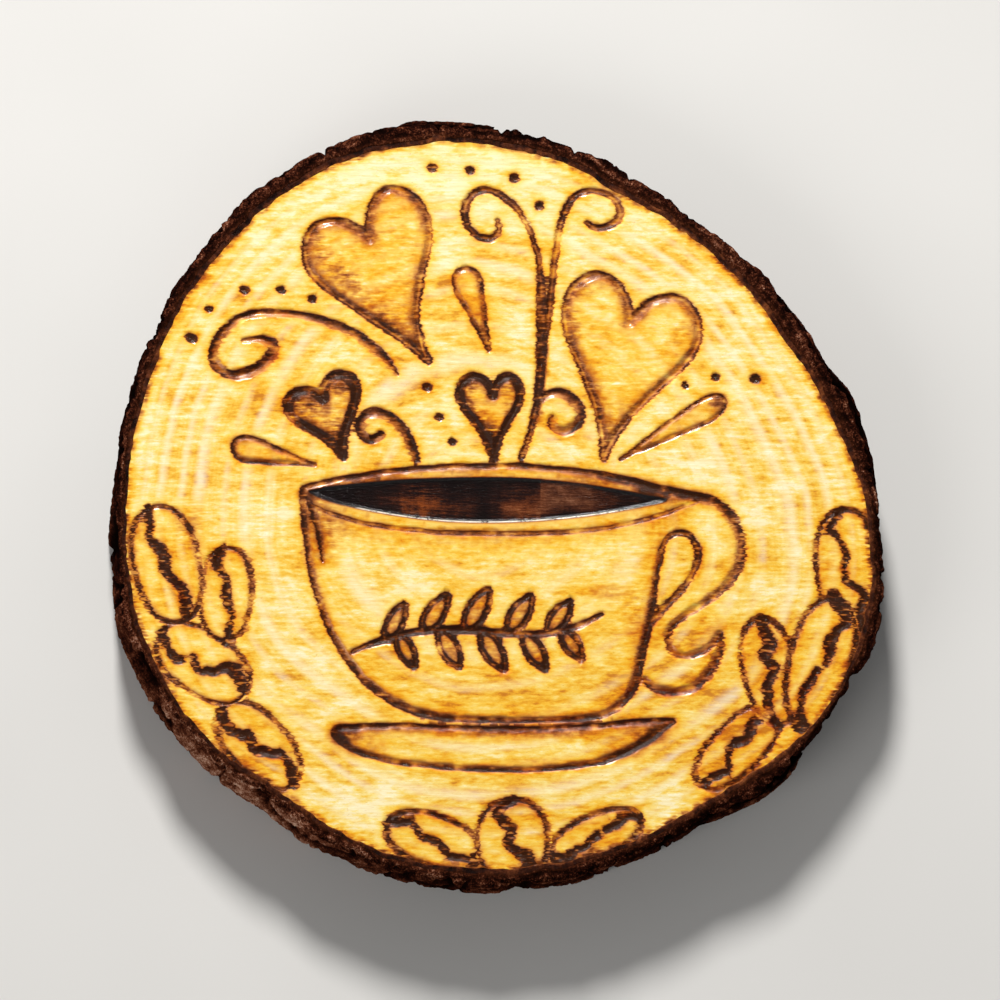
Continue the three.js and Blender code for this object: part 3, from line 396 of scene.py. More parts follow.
def smoothstep(a, b, x):
    t = np.clip((x - a) / (b - a), 0, 1)
    return t * t * (3 - 2 * t)


def inside_loop(loop, points):
    x, y = points[:, 0], points[:, 1]
    inside = np.zeros(len(points), bool)
    for (ax, ay), (bx, by) in zip(loop, np.roll(loop, -1, axis=0)):
        if ay != by:
            inside ^= ((ay > y) != (by > y)) & (x < (bx - ax) * (y - ay) / (by - ay) + ax)
    return inside


def nearest_segment(starts, ends, points):
    """Distance to the side of the nearest tapered segment, its gradient and the half width."""
    count = len(points)
    gap, half, grad = np.empty(count), np.empty(count), np.empty((count, 2))
    span = ends - starts
    length2 = np.maximum((span[:, :2] ** 2).sum(1), 1e-12)
    chunk = max(1, int(3e6 // max(1, len(starts))))    # bounds the memory used
    for first in range(0, count, chunk):
        part = slice(first, first + chunk)
        from_x = points[part, 0:1] - starts[None, :, 0]
        from_y = points[part, 1:2] - starts[None, :, 1]
        along = np.clip((from_x * span[:, 0] + from_y * span[:, 1]) / length2, 0, 1)
        off_x, off_y = from_x - along * span[:, 0], from_y - along * span[:, 1]
        distance = np.sqrt(off_x * off_x + off_y * off_y)
        halves = starts[:, 2] + span[:, 2] * along
        gaps = distance - halves
        best = gaps.argmin(1)
        best = (np.arange(len(best)), best)
        gap[part] = gaps[best]
        half[part] = halves[best]
        off = np.column_stack([off_x[best], off_y[best]])
        grad[part] = off / np.maximum(distance[best], 1e-9)[:, None]
    return gap, grad, half


def loop_distance(loop, points):
    """Signed distance to a closed loop, negative inside, and its gradient."""
    rows = np.column_stack([loop, np.zeros(len(loop))])
    distance, grad, _ = nearest_segment(rows, np.roll(rows, -1, axis=0), points)
    sign = np.where(inside_loop(loop, points), -1.0, 1.0)
    return distance * sign, grad * sign[:, None]


def line_normals(rows, closed):
    """Unit vectors pointing to the left of the line."""
    line = rows[:, :2]
    if closed:
        tangent = np.roll(line, -1, axis=0) - np.roll(line, 1, axis=0)
    else:
        tangent = np.gradient(line, axis=0)
    tangent = tangent / np.maximum(np.hypot(tangent[:, 0], tangent[:, 1]), 1e-9)[:, None]
    return np.column_stack([-tangent[:, 1], tangent[:, 0]])


def blobs(points, table):
    """Sum of the soft spots in a table."""
    total = 0
    for x, y, reach_x, reach_y, amount, *turn in table:
        angle = math.radians(turn[0] if turn else 0)
        c, s = math.cos(angle), math.sin(angle)
        dx, dy = points[:, 0] - x, points[:, 1] - y
        total = total + amount * np.exp(-((dx * c + dy * s) / reach_x) ** 2
                                        - ((-dx * s + dy * c) / reach_y) ** 2)
    return total


# ------------------------------------------------------------------ the marks


def name_seed(name):
    return sum(ord(letter) for letter in name)


def hand_drawn(rows, closed, seed, width):
    """A hand-held pen: the line wanders a little and its width changes."""
    rows = resample(rows, LINE_STEP, closed)
    count = len(rows)
    if closed:
        cells = max(4, int(count * LINE_STEP / 1.6))
        turn = np.arange(count) / count
        wander, swell = around(turn, cells, 0.5, seed), around(turn, cells, 7.5, seed)
    else:
        travel = np.arange(count) * LINE_STEP
        wander, swell = noise(travel / 1.7, 0.5, seed), noise(travel / 1.3, 7.5, seed)
    rows[:, :2] += line_normals(rows, closed=False) * wander[:, None] * 0.07
    rows[:, 2] *= (1 + 0.16 * swell) * width
    return rows


class Mark:
    """One burned mark: (rows, closed) lines of (x, y, half width), or a filled outline.

    heat is how dark it burned and depth how deep; width scales its lines. shading says how the
    pen burned across the line, softness how much softer its soft side is; with a centre, that
    is the side facing it. toast browns the inside of the outline. front holds the beans that
    cover this one, outline_half the half width left clear around it.
    """

    def __init__(self, name, lines, heat, depth, width=0.88, shading="solid", softness=1.0,
                 centre=None, outline=None, filled=False, toast=None, tip=None, crease=None,
                 front=(), outline_half=0.0):
        self.name, self.heat, self.depth = name, heat, depth
        self.shading, self.softness, self.centre = shading, softness, centre
        self.outline, self.filled, self.toast = outline, filled, toast
        self.tip, self.crease, self.front, self.outline_half = tip, crease, front, outline_half
        self.ragged = next(v for start, v in RAGGED.items() if name.startswith(start))
        if filled:
            self.lines = [(np.column_stack([outline, np.zeros(len(outline))]), True)]
        else:
            self.lines = [(hand_drawn(rows, closed, name_seed(name) + number, width), closed)
                          for number, (rows, closed) in enumerate(lines)]
        runs = [np.vstack([rows, rows[:1]]) if closed else rows for rows, closed in self.lines]
        self.starts = np.vstack([run[:-1] for run in runs])
        self.ends = np.vstack([run[1:] for run in runs])
        points = np.vstack(runs)[:, :2]
        self.low, self.high = points.min(0) - 1.0, points.max(0) + 1.0

    def near(self, points, margin):
        return ((points > self.low - margin) & (points < self.high + margin)).all(1)

    def field(self, points):
        """Distance from the burned edge (negative inside), its gradient, the groove's depth, its
        gradient, and the place across: 1 is the sharply cut side, -1 the softly shaded one."""
        count = len(points)
        if self.filled:
            gap, grad = loop_distance(self.outline, points)
            step = 1e-3
            depth, next_depth = (self.depth * smoothstep(-0.06, 0.34, -(gap + shift))
                                 for shift in (0, step))
            slope = (next_depth - depth) / step
            return gap, grad, depth, slope[:, None] * grad, np.full(count, 0.7)
        gap, grad, half = nearest_segment(self.starts, self.ends, points)
        distance = gap + half
        reach = half + 0.14
        share = np.clip(distance / reach, 0, 1)
        x, y = points.T
        scale = self.depth * np.clip(half / 0.5, 0.35, 1.25) ** 0.7
        scale = scale * (1 + 0.30 * noise(x * 0.9, y * 1.6, 21) + 0.16 * noise(x * 2.1, y * 4.0, 22))
        depth = scale * (1 - share * share) ** 1.5
        slope = scale * 1.5 * np.sqrt(np.maximum(1 - share * share, 0)) * (-2 * share) / reach
        across = np.clip(distance / half, 0, 1)
        if self.centre is not None:
            outward = ((points - np.array(self.centre)) * grad).sum(1) > 0
            across = 1 - (1 - across * np.where(outward, 1.0, -1.0)) * self.softness
        elif self.shading == "loop":
            sign = np.where(inside_loop(self.outline, points), -1.0, 1.0)
            across = 1 - (1 - across * sign) * self.softness
        elif self.shading == "double":
            across = 0.45 + 0.5 * across
        else:
            across = np.full(count, 0.7)
        for front in self.front:
            front_gap, front_grad = front.outer(points)
            cut = FRONT_GAP - front_gap
            over = cut > gap
            gap = np.where(over, cut, gap)
            grad = np.where(over[:, None], -front_grad, grad)
            fade = smoothstep(0.0, 0.25, front_gap - (FRONT_GAP - EDGE))
            depth, slope = depth * fade, slope * fade
        if self.crease is not None:
            # beans stop short of the wood's edge
            radius = np.hypot(x, y)
            cut = radius - (wood_radius(np.arctan2(y, x)) - RIM_GAP)
            outward = points / np.maximum(radius, 1e-9)[:, None]
            grad = np.where((cut > gap)[:, None], outward, grad)
            gap = np.maximum(gap, cut)
            depth = depth * smoothstep(0.0, 0.2, -cut)
        return gap, grad, depth, slope[:, None] * grad, across

    def outer(self, points):
        """Signed distance to the outer side of the outline, positive outside."""
        distance, grad = loop_distance(self.outline, points)
        return distance - self.outline_half, grad

    def tip_share(self, points):
        """Distance from a heart's tip as a share of its length."""
        x, y, length = self.tip
        return np.hypot(points[:, 0] - x, points[:, 1] - y) / length


def open_line(rows):
    return smooth(rows, 8), False


marks = {}


def add_mark(name, lines, **settings):
    marks[name] = Mark(name, lines, **settings)


COFFEE = resample(smooth(COFFEE_EDGE, 6, True), LINE_STEP, True)
STROKE_BURN = {
    "cup_rim": dict(heat=1.9, depth=0.22, centre=(0.0, -40.0), width=0.8, softness=0.5),
    "cup_wall": dict(heat=2.1, depth=0.28, centre=(-1.0, -8.0), width=0.8, softness=0.5),
    "coffee_surface": dict(heat=2.7, depth=0.32, outline=COFFEE, filled=True),
    "cup_lip": dict(heat=0.95, depth=0.16, shading="double"),
    "cup_handle": dict(heat=1.6, depth=0.28, centre=(20.0, -6.0), width=0.86, softness=0.5),
    "handle_loop": dict(heat=1.35, depth=0.24, shading="double", width=0.8),
    "saucer": dict(heat=2.0, depth=0.26, centre=(0.5, -27.6), width=0.76, softness=0.5),
    "scroll_large_left": dict(heat=2.1, depth=0.32, centre=(-24.5, 12.0), width=0.82,
                              softness=0.5),
    "scroll_twin_stem": dict(heat=1.7, depth=0.30, shading="double", width=0.74),
    "scroll_small_left": dict(heat=2.2, depth=0.30, centre=(-13.4, 7.4), softness=0.5),
    "scroll_small_right": dict(heat=2.1, depth=0.30, centre=(6.9, 10.3), softness=0.5),
}
for name, burn in STROKE_BURN.items():
    add_mark(name, [open_line(stroke) for stroke in STROKES.get(name, [])], **burn)


def add_heart(name, x, y, tilt, length, left, right, left_top, right_top, bow, line, heat, toast,
              softness):
    sides = []
    for sign, half, top in ((1, right, right_top), (-1, left, left_top)):
        points = [(0.0, 0.0)]
        points += [(sign * u * 2 * half, v * (1 + (top - 1) * min(1, max(0, (v - 0.3) / 0.4))))
                   for u, v in HEART_SIDE]
        points += [(0.0, HEART_NOTCH)]
        points = [(u + bow * math.sin(math.pi * min(1, max(0, v / 0.62))), v * length)
                  for u, v in points]
        widths = [line * share for share in HEART_LINE]
        sides.append(open_line(np.column_stack([place(x, y, tilt, points), widths])))
    outline = np.vstack([sides[0][0], sides[1][0][::-1][1:-1]])[:, :2]
    add_mark(name, sides, heat=heat, depth=0.30, width=0.80, shading="loop", softness=softness,
             outline=outline, toast=toast, tip=(x, y, length))


def add_drop(name, x, y, tilt, length, width, line, heat):
    sides = []
    for sign in (1, -1):
        points = [(0, 0)] + [(sign * u * width, v * length) for u, v in DROP_SIDE]
        points += [(-sign * 0.1 * width, 0.998 * length)]
        rows = np.column_stack([place(x, y, tilt, points), np.full(len(points), line)])
        sides.append(open_line(rows))
    outline = np.vstack([sides[0][0], sides[1][0][::-1]])[:, :2]
    add_mark(name, sides, heat=heat, depth=0.24, width=0.66, shading="loop", softness=0.45,
             outline=outline, toast=(0.16, 0.20, 0.7))


def leaf_rows(x, y, angle, length, width, line):
    points = [(u * width, length / 2 + v * length) for u, v in LEAF_EDGE]
    half = [line * (1.15 if abs(v) > 0.4 else 0.95) for _, v in LEAF_EDGE]
    return smooth(np.column_stack([place(x, y, angle - 90, points), half]), 4, True)


def add_bean(name, x, y, tilt, length, width, line, crease, side, front):
    seed = name_seed(name)
    t = np.linspace(0, 2 * np.pi, 40, endpoint=False)
    turn = t / (2 * np.pi)
    wobble = 1 + 0.02 * around(turn, 7, 0.3, seed)
    u = 0.5 * width * np.sign(np.sin(t)) * np.abs(np.sin(t)) ** 0.9 * wobble
    v = 0.5 * length * np.sign(np.cos(t)) * np.abs(np.cos(t)) ** 0.9 * wobble
    outline = place(x, y, tilt, np.column_stack([u, v]))
    half = 0.66 * line * (1 + 0.34 * around(turn, 9, 0.9, seed + 4))
    ring = np.column_stack([outline, half])
    # the same bend in every bean, made ragged; in some the pen was lifted on the way
    seed9 = seed + 9
    k = np.arange(len(CREASE))
    u = side * (CREASE[:, 0] + 0.085 * noise(k * 1.7, 0.2, seed9)) * width
    v = (CREASE[:, 1] + 0.022 * noise(k * 1.3, 3.7, seed9)) * length
    half = 0.80 * crease * (1 + 0.50 * noise(k * 1.9, 9.2, seed9))
    bend = smooth(np.column_stack([place(x, y, tilt, np.column_stack([u, v])), half]), 6)
    k = np.arange(len(bend))
    bend[:, 0] += 0.20 * noise(k * 0.55, 0.2, seed9)
    bend[:, 1] += 0.20 * noise(k * 0.55, 5.2, seed9)
    bend[:, 2] = np.maximum(bend[:, 2] * (1 + 0.34 * noise(k * 0.45, 9.2, seed9)), 0.10)
    runs = [bend]
    if seed % 3 == 0:
        cut = int((0.5 + 0.22 * noise(seed * 0.731, 1.5, 21)) * len(bend))
        runs = [bend[:cut - 2], bend[cut + 2:]]
    add_mark(name, [(ring, True)] + [(run, False) for run in runs], heat=1.5, depth=0.17,
             width=1.0, outline=outline, toast=(0.05, 0.22, 0.7), crease=np.vstack(runs),
             front=tuple(marks[other] for other in front), outline_half=line * 0.66)


def add_dot(name, x, y, radius):
    """A prod of the pen, longer than wide."""
    seed = sum(ord(letter) * (k + 1) for k, letter in enumerate(name))
    jitter = noise(seed * 0.37 + np.arange(5) * 3.1, 0.5, 11)
    rows = np.array([
        [x - radius * (0.25 + 0.3 * jitter[0]), y + radius * 0.35 * jitter[1], radius * 0.62],
        [x, y + radius * 0.1 * jitter[4], radius * 0.80],
        [x + radius * (0.3 + 0.25 * jitter[2]), y + radius * 0.3 * jitter[3], radius * 0.50]])
    add_mark(name, [(rows, False)], heat=2.5, depth=0.24)


for row in HEARTS:
    add_heart(*row)
for row in DROPS:
    add_drop(*row)
leaves = [leaf_rows(*row) for row in SPRIG_LEAVES]
add_mark("leaf_sprig", [open_line(SPRIG_STEM)] + [(leaf, True) for leaf in leaves],
         heat=2.15, depth=0.28, width=0.76, shading="double")
for row in BEANS:
    add_bean(*row)
for row in DOTS:
    add_dot(*row)
ORDER = list(marks.values())

# ------------------------------------------------------------------ points of the upper face


def offset_points(mark, distance, cap_step, cap_least, step=None):
    """Points this far out on both sides of the mark's lines and around their open ends."""
    out = []
    for rows, closed in mark.lines:
        if step:
            rows = resample(rows, step, closed)
        normal = line_normals(rows, closed)
        reach = (rows[:, 2] + distance)[:, None]
        out += [rows[:, :2] + normal * reach, rows[:, :2] - normal * reach]
        if not closed:
            for end, way in ((0, -1), (-1, 1)):
                heading = math.atan2(-normal[end, 0] * way, normal[end, 1] * way)
                count = max(cap_least, int(math.pi * reach[end, 0] / cap_step))
                angle = heading + np.linspace(-math.pi / 2, math.pi / 2, count)
                circle = np.column_stack([np.cos(angle), np.sin(angle)])
                out.append(rows[end, :2] + reach[end, 0] * circle)
    return np.vstack(out)


def edge_candidates(mark):
    """Points on the mark's char edge, EDGE outside its burn."""
    out = [offset_points(mark, EDGE, cap_step=0.2, cap_least=5)]
    for front in mark.front:
        points = resample(front.outline, 0.2, True)
        for _ in range(2):
            gap, grad = front.outer(points)
            points = points + grad * (FRONT_GAP - EDGE - gap)[:, None]
        out.append(points)
    if mark.crease is not None:
        angle = np.linspace(0, 2 * np.pi, 1400, endpoint=False)
        radius = wood_radius(angle) - RIM_GAP + EDGE
        points = np.column_stack([radius * np.cos(angle), radius * np.sin(angle)])
        out.append(points[mark.near(points, 0.5)])
    points = np.vstack(out)
    points = points[np.abs(mark.field(points)[0] - EDGE) < 0.05]
    for _ in range(3):
        gap, grad = mark.field(points)[:2]
        points = points + grad * (EDGE - gap)[:, None]
    return points[np.abs(mark.field(points)[0] - EDGE) < 0.004]


def grid(xs, ys, shift=0.0):
    """Rows of points, every other row shifted along x."""
    return np.array([(x + (shift if k % 2 else 0), y) for k, y in enumerate(ys) for x in xs])


def inner_candidates(mark):
    """Points within the burn."""
    out = []
    if mark.filled:
        points = grid(np.arange(-30, 30, 0.33), np.arange(-4, 5, 0.33))
        out.append(points[mark.field(points)[0] < -0.3])
        border = edge_candidates(mark)
        grad = mark.field(border)[1]
        out += [border - grad * (inset + EDGE) for inset in (0.16, 0.36)]
        limit = -0.02
    else:
        for rows, closed in mark.lines:
            sideways = line_normals(rows, closed) * rows[:, 2:3]
            out.append(rows[:, :2])
            for share in (0.5, -0.5, 0.85, -0.85):
                out.append(rows[:, :2] + sideways * share)
        limit = EDGE - 0.05
    points = np.vstack(out)
    return points[mark.field(points)[0] < limit]


class Picker:
    """Keeps points that are no closer than a distance to any point kept before."""

    def __init__(self, cell=0.3):
        self.cell, self.grid, self.points = cell, {}, []

    def add(self, points, gap):
        reach = int(math.ceil(gap / self.cell))
        limit = gap * gap
        for x, y in points.tolist():
            column, row = int(math.floor(x / self.cell)), int(math.floor(y / self.cell))
            if not any((other_x - x) ** 2 + (other_y - y) ** 2 < limit
                       for i in range(column - reach, column + reach + 1)
                       for j in range(row - reach, row + reach + 1)
                       for other_x, other_y in self.grid.get((i, j), ())):
                self.grid.setdefault((column, row), []).append((x, y))
                self.points.append((x, y))


def rim_distance(points):
    """How far inside the wood's edge each point is, along its radius."""
    x, y = points.T
    return wood_radius(np.arctan2(y, x)) - np.hypot(x, y)


def within(points, inset):
    return points[rim_distance(points) > inset]


def rim_loop(inset):
    theta = np.arange(RIM_STEPS) / RIM_STEPS * 2 * np.pi
    radius = wood_radius(theta) - inset
    return np.column_stack([radius * np.cos(theta), radius * np.sin(theta)])


def from_pith(points):
    return np.hypot(points[:, 0] - PITH[0], points[:, 1] - PITH[1])


rim = rim_loop(0.0)
pith_angle = np.arange(PITH_STEPS) / PITH_STEPS * 2 * np.pi
pith_ring = np.column_stack([PITH[0] + PITH_R * np.cos(pith_angle),
                             PITH[1] + PITH_R * np.sin(pith_angle)])
PITH_CUT = PITH_R * 0.985    # triangles centred nearer than this belong to the pith


def face_points():
    """Rim and pith first, then ever sparser points away from the marks."""
    pick = Picker()
    pick.add(rim, 0.0)
    pick.add(pith_ring, 0.0)
    for mark in ORDER:
        pick.add(within(edge_candidates(mark), 0.05), 0.125)
    for mark in ORDER:
        pick.add(within(inner_candidates(mark), 0.1), 0.15)
    for inset, gap in ((0.22, 0.3), (0.6, 0.42), (1.15, 0.55)):
        pick.add(rim_loop(inset), gap)
    for distance, step, gap in ((0.16, 0.26, 0.18), (0.4, 0.36, 0.26), (0.8, 0.55, 0.42)):
        for mark in ORDER:
            halo = offset_points(mark, distance + EDGE, cap_step=step, cap_least=4, step=step)
            pick.add(within(halo, 0.15), gap)
    back = grid(np.arange(-46, 46, 0.78), np.arange(-46, 46, 0.68), 0.39)
    x, y = back.T * 3
    back = back + 0.12 * np.column_stack([noise(x, y, 1), noise(x, y, 2)])
    pick.add(within(back, 0.5), 0.6)
    return pick.points


def triangulate(points, boundary, facing, least_area=0.0):
    """Triangulate points that begin with the rim and the pith ring, keeping both rings' edges.
    facing 1 winds the triangles upward, -1 downward. Gives vertices, triangles and ring ids."""
    edges = [(i, (i + 1) % RIM_STEPS) for i in range(RIM_STEPS)]
    edges += [(RIM_STEPS + i, RIM_STEPS + (i + 1) % PITH_STEPS) for i in range(PITH_STEPS)]
    result = delaunay_2d_cdt([Vector(p) for p in points], edges, [], 0, 1e-6)
    vertices = np.array([tuple(v) for v in result[0]], float)
    tris = np.array([face for face in result[2] if len(face) == 3], int)
    source_id = {source: i for i, sources in enumerate(result[3]) for source in sources}
    ring_ids = np.array([source_id[i] for i in range(RIM_STEPS + PITH_STEPS)])
    a, b, c = (vertices[tris[:, k]] for k in range(3))
    area = (b[:, 0] - a[:, 0]) * (c[:, 1] - a[:, 1]) - (c[:, 0] - a[:, 0]) * (b[:, 1] - a[:, 1])
    keep = inside_loop(boundary, vertices[tris].mean(1)) & (np.abs(area) >= least_area)
    flip = area * facing < 0
    tris[flip] = tris[flip][:, ::-1]
    return vertices, tris[keep], ring_ids[:RIM_STEPS], ring_ids[RIM_STEPS:]


face, triangles, rim_ids, pith_ids = triangulate(face_points(), rim, 1, least_area=1e-9)
N = len(face)

# ------------------------------------------------------------------ fields on those points


def burn_fields():
    """The nearest mark's values, the deepest groove and each mark's distance, at every point."""
    gap_by = np.full((len(ORDER), N), FAR)
    burn = {"depth": np.zeros(N), "slope": np.zeros((N, 2)), "gap": np.full(N, FAR),
            "grad": np.zeros((N, 2)), "heat": np.zeros(N), "side": np.full(N, 0.7),
            "toast": np.zeros(N), "ragged": np.full(N, 0.5)}
    for i, mark in enumerate(ORDER):
        ids = np.where(mark.near(face, 6.0))[0]
        points = face[ids]
        gap, grad, depth, slope, across = mark.field(points)
        gap_by[i, ids] = gap
        deeper = depth > burn["depth"][ids]
        burn["depth"][ids[deeper]] = depth[deeper]
        burn["slope"][ids[deeper]] = slope[deeper]
        nearer = gap < burn["gap"][ids]
        heat = np.full(len(ids), mark.heat)[nearer]
        close = points[nearer]
        if mark.crease is not None:
            # the crease is burned harder than the outline
            offset = close[:, None, :] - mark.crease[None, :, :2]
            distance = (np.sqrt((offset ** 2).sum(2)) - mark.crease[None, :, 2]).min(1)
            patches = 1 + 0.6 * noise(close[:, 0] * 0.7, close[:, 1] * 0.7, 55)
            heat = heat + 1.15 * smoothstep(0.45, 0.0, distance) * patches
        if mark.tip:
            heat = heat + 0.7 * np.exp(-(mark.tip_share(close) / 0.25) ** 2)
        for key, value in (("gap", gap[nearer]), ("grad", grad[nearer]),
                           ("side", across[nearer]), ("ragged", mark.ragged), ("heat", heat)):
            burn[key][ids[nearer]] = value
        if mark.toast:
            base, at_line, falloff = mark.toast
            amount = base + at_line * np.exp(-np.maximum(gap, 0) / falloff)
            if mark.tip:
                amount = amount + 0.55 * np.exp(-(mark.tip_share(points) / 0.26) ** 2)
            for front in mark.front:
                amount = amount * smoothstep(-0.2, 0.2, front.outer(points)[0])
            amount = np.where(inside_loop(mark.outline, points), amount, 0)
            burn["toast"][ids] = np.maximum(burn["toast"][ids], amount)
    # the burn comes and goes along every stroke, except the hottest
    x, y = face.T
    uneven = 1.0 + 0.40 * noise(x * 0.42, y * 0.42, 51) + 0.50 * noise(x, y, 52)
    burn["heat"] = burn["heat"] * np.where(burn["heat"] > 2.45, 1.0, uneven)
    return burn, gap_by


def all_toast(toast):
    """Browning from the marks themselves, plus regions between marks, spots and the rim."""
    def joined(*lines):
        return np.vstack(lines)[:, :2]

    wall = [smooth(stroke, 6) for stroke in STROKES["cup_wall"][:3]]
    cup_body = joined(*wall, smooth(STROKES["cup_rim"][0], 6)[::-1])
    handle_band = joined(smooth(STROKES["cup_handle"][0], 5)[:60],
                         smooth(STROKES["handle_loop"][0], 5)[::-1])
    stem_gap = np.array([(3.4, 9), (4.1, 13), (4.6, 19), (4.75, 24), (5.6, 24), (5.5, 19),
                         (5.3, 13), (4.7, 9.5)], float)
    # loop, level all over, extra at the edge, falloff
    regions = [
        (cup_body, 0.03, 0.28, 1.5),
        (joined(*(smooth(stroke, 6) for stroke in STROKES["saucer"])), 0.0, 0.22, 0.8),
        (handle_band, 0.02, 0.22, 1.0),
        (stem_gap, 0.62, 0.15, 0.6),
    ] + [(leaf[:, :2], 0.50, 0.4, 0.5) for leaf in leaves]
    for loop, base, edge, falloff in regions:
        ids = np.where(inside_loop(loop, face))[0]
        depth_in = -loop_distance(loop, face[ids])[0]
        toast[ids] = np.maximum(toast[ids], base + edge * np.exp(-depth_in / falloff))
    # a curved band inside the cup under the lip
    x, y = face.T
    band = 0.42 * np.exp(-((y + 4.2 - 0.0028 * x ** 2) / 2.4) ** 2)
    band = band * (0.7 + 0.3 * noise(x * 0.25, y * 0.4, 41))
    toast = toast + np.where(inside_loop(cup_body, face), band, 0) + blobs(face, TOAST_SPOTS)
    for heart, spots in HEART_SPOTS.items():
        inside = inside_loop(marks[heart].outline, face)
        toast = toast + np.where(inside, blobs(face, spots), 0)
    theta = np.arctan2(y, x)
    turn = theta / (2 * np.pi)
    ragged = 0.22 * around(turn, 520, rim_gap * 1.5, 32) + 0.16 * around(turn, 210, 0.5, 33)
    rim_brown = np.exp(-np.maximum(rim_gap + ragged, 0) / 0.36)
    toast = toast + (1.15 + 0.55 * noise(theta * 6, 0, 31)) * rim_brown
    return np.clip(toast, 0, 2.0)


def warmth(points):
    """How deep the honey colour of the bare wood is; palest on the lip just under the coffee, where
    light from the pool's lit lower wall is painted in.
    """
    lip = marks["coffee_surface"].field(points)[0]
    # painted light: the wood just below the coffee's edge is paled as if lit
    painted_lip_light = 0.40 * np.exp(-(np.maximum(lip, 0) / 0.8) ** 2)
    painted_lip_light = painted_lip_light * smoothstep(0.5, -0.8, points[:, 1]) * (lip > 0)
    return 0.24 + blobs(points, WARM_SPOTS) - painted_lip_light


def ring_share(points):
    """Distance from the pith as a share of the way to the bark, for the growth rings."""
    angle = np.linspace(-np.pi, np.pi, 721)
    low, high = np.zeros(len(angle)), np.full(len(angle), 60.0)
    for _ in range(22):
        middle = (low + high) / 2
        x, y = PITH[0] + middle * np.cos(angle), PITH[1] + middle * np.sin(angle)
        inside = np.hypot(x, y) < table_radius(WOOD_R, np.arctan2(y, x))
        low, high = np.where(inside, middle, low), np.where(inside, high, middle)
    kernel = np.hanning(61)
    kernel /= kernel.sum()
    wrapped = np.concatenate([low[-61:-1], low, low[1:61]])
    softened = np.convolve(wrapped, kernel, "same")[60:-60]
    # rings follow the bark's outline near it and a softened outline towards the pith
    distance = from_pith(points)
    at = np.arctan2(points[:, 1] - PITH[1], points[:, 0] - PITH[0])
    reach, soft_reach = np.interp(at, angle, low), np.interp(at, angle, softened)
    blend = np.clip(distance / reach, 0, 1) ** 2
    return distance / (reach * blend + soft_reach * (1 - blend))


burn, gap_by = burn_fields()
rim_gap = rim_distance(face)

# what the materials read at every point of the upper face
FACE_ATTRS = {
    "phi": burn["gap"], "gx": np.abs(burn["grad"][:, 0]), "sear": burn["heat"],
    "side": burn["side"], "toast": all_toast(burn["toast"]), "rag": burn["ragged"],
    "rho": ring_share(face), "warmth_and_light": warmth(face), "under": np.zeros(N),
}

# height of the face: grooves, a rounded rim and a soft unevenness
z_top = TOP - burn["depth"] + 0.02 * fractal(face[:, 0] / 9, face[:, 1] / 9, 2, 40)
z_top = np.minimum(z_top - 0.10 * np.exp(-np.maximum(rim_gap, 0) / 0.25), TOP + 0.02)
face_normals = np.column_stack([burn["slope"], np.ones(N)])
face_normals /= np.linalg.norm(face_normals, axis=1)[:, None]

# ------------------------------------------------------------------ which triangles are char


def border_ids(tris):
    """Vertices on edges that only one triangle has."""
    edges = np.vstack([tris[:, [0, 1]], tris[:, [1, 2]], tris[:, [2, 0]]])
    key = edges[:, 0].astype(np.int64) * N + edges[:, 1]
    twin = edges[:, 1].astype(np.int64) * N + edges[:, 0]
    return np.unique(edges[~np.isin(key, twin)])


def components(tris):
    """For each triangle, a vertex that stands for its connected part."""
    parent = {v: v for v in np.unique(tris).tolist()}

    def find(v):
        while parent[v] != v:
            parent[v] = parent[parent[v]]
            v = parent[v]
        return v

    for a, b, c in tris.tolist():
        parent[find(b)] = find(a)
        parent[find(c)] = find(a)
    return np.array([find(v) for v in tris[:, 0].tolist()])


def char_pieces():
    """Each mark's triangles, border and inner vertices, and the char's thickness everywhere."""
    owner = np.full(len(triangles), -1)
    for i in range(len(ORDER)):
        gap = gap_by[i][triangles]
        mine = (owner < 0) & (gap <= EDGE + 0.006).all(1)
        mine &= (gap.min(1) < EDGE - 0.01) & (gap.mean(1) < EDGE - 0.005)
        owner[mine] = i
    pieces = []
    thickness = np.zeros(N)
    for i in range(len(ORDER)):
        # drop triangles with no inner corner, then parts of only a few triangles
        for _ in range(4):
            ids = np.where(owner == i)[0]
            tris = triangles[ids]
            flat = np.isin(tris, border_ids(tris)).all(1)
            owner[ids[flat]] = -1
            if not flat.any():
                break
        ids = np.where(owner == i)[0]
        part = components(triangles[ids])
        for label in np.unique(part):
            members = ids[part == label]
            if len(members) < 10:
                owner[members] = -1
        tris = triangles[owner == i]
        border = border_ids(tris)
        inner = np.setdiff1d(tris, border)
        thickness[inner] = np.clip(0.03 + 0.5 * (EDGE - gap_by[i][inner]), 0.03, 0.16)
        pieces.append((tris, border, inner))
    return pieces, thickness


pieces, thickness = char_pieces()

# ------------------------------------------------------------------ meshes


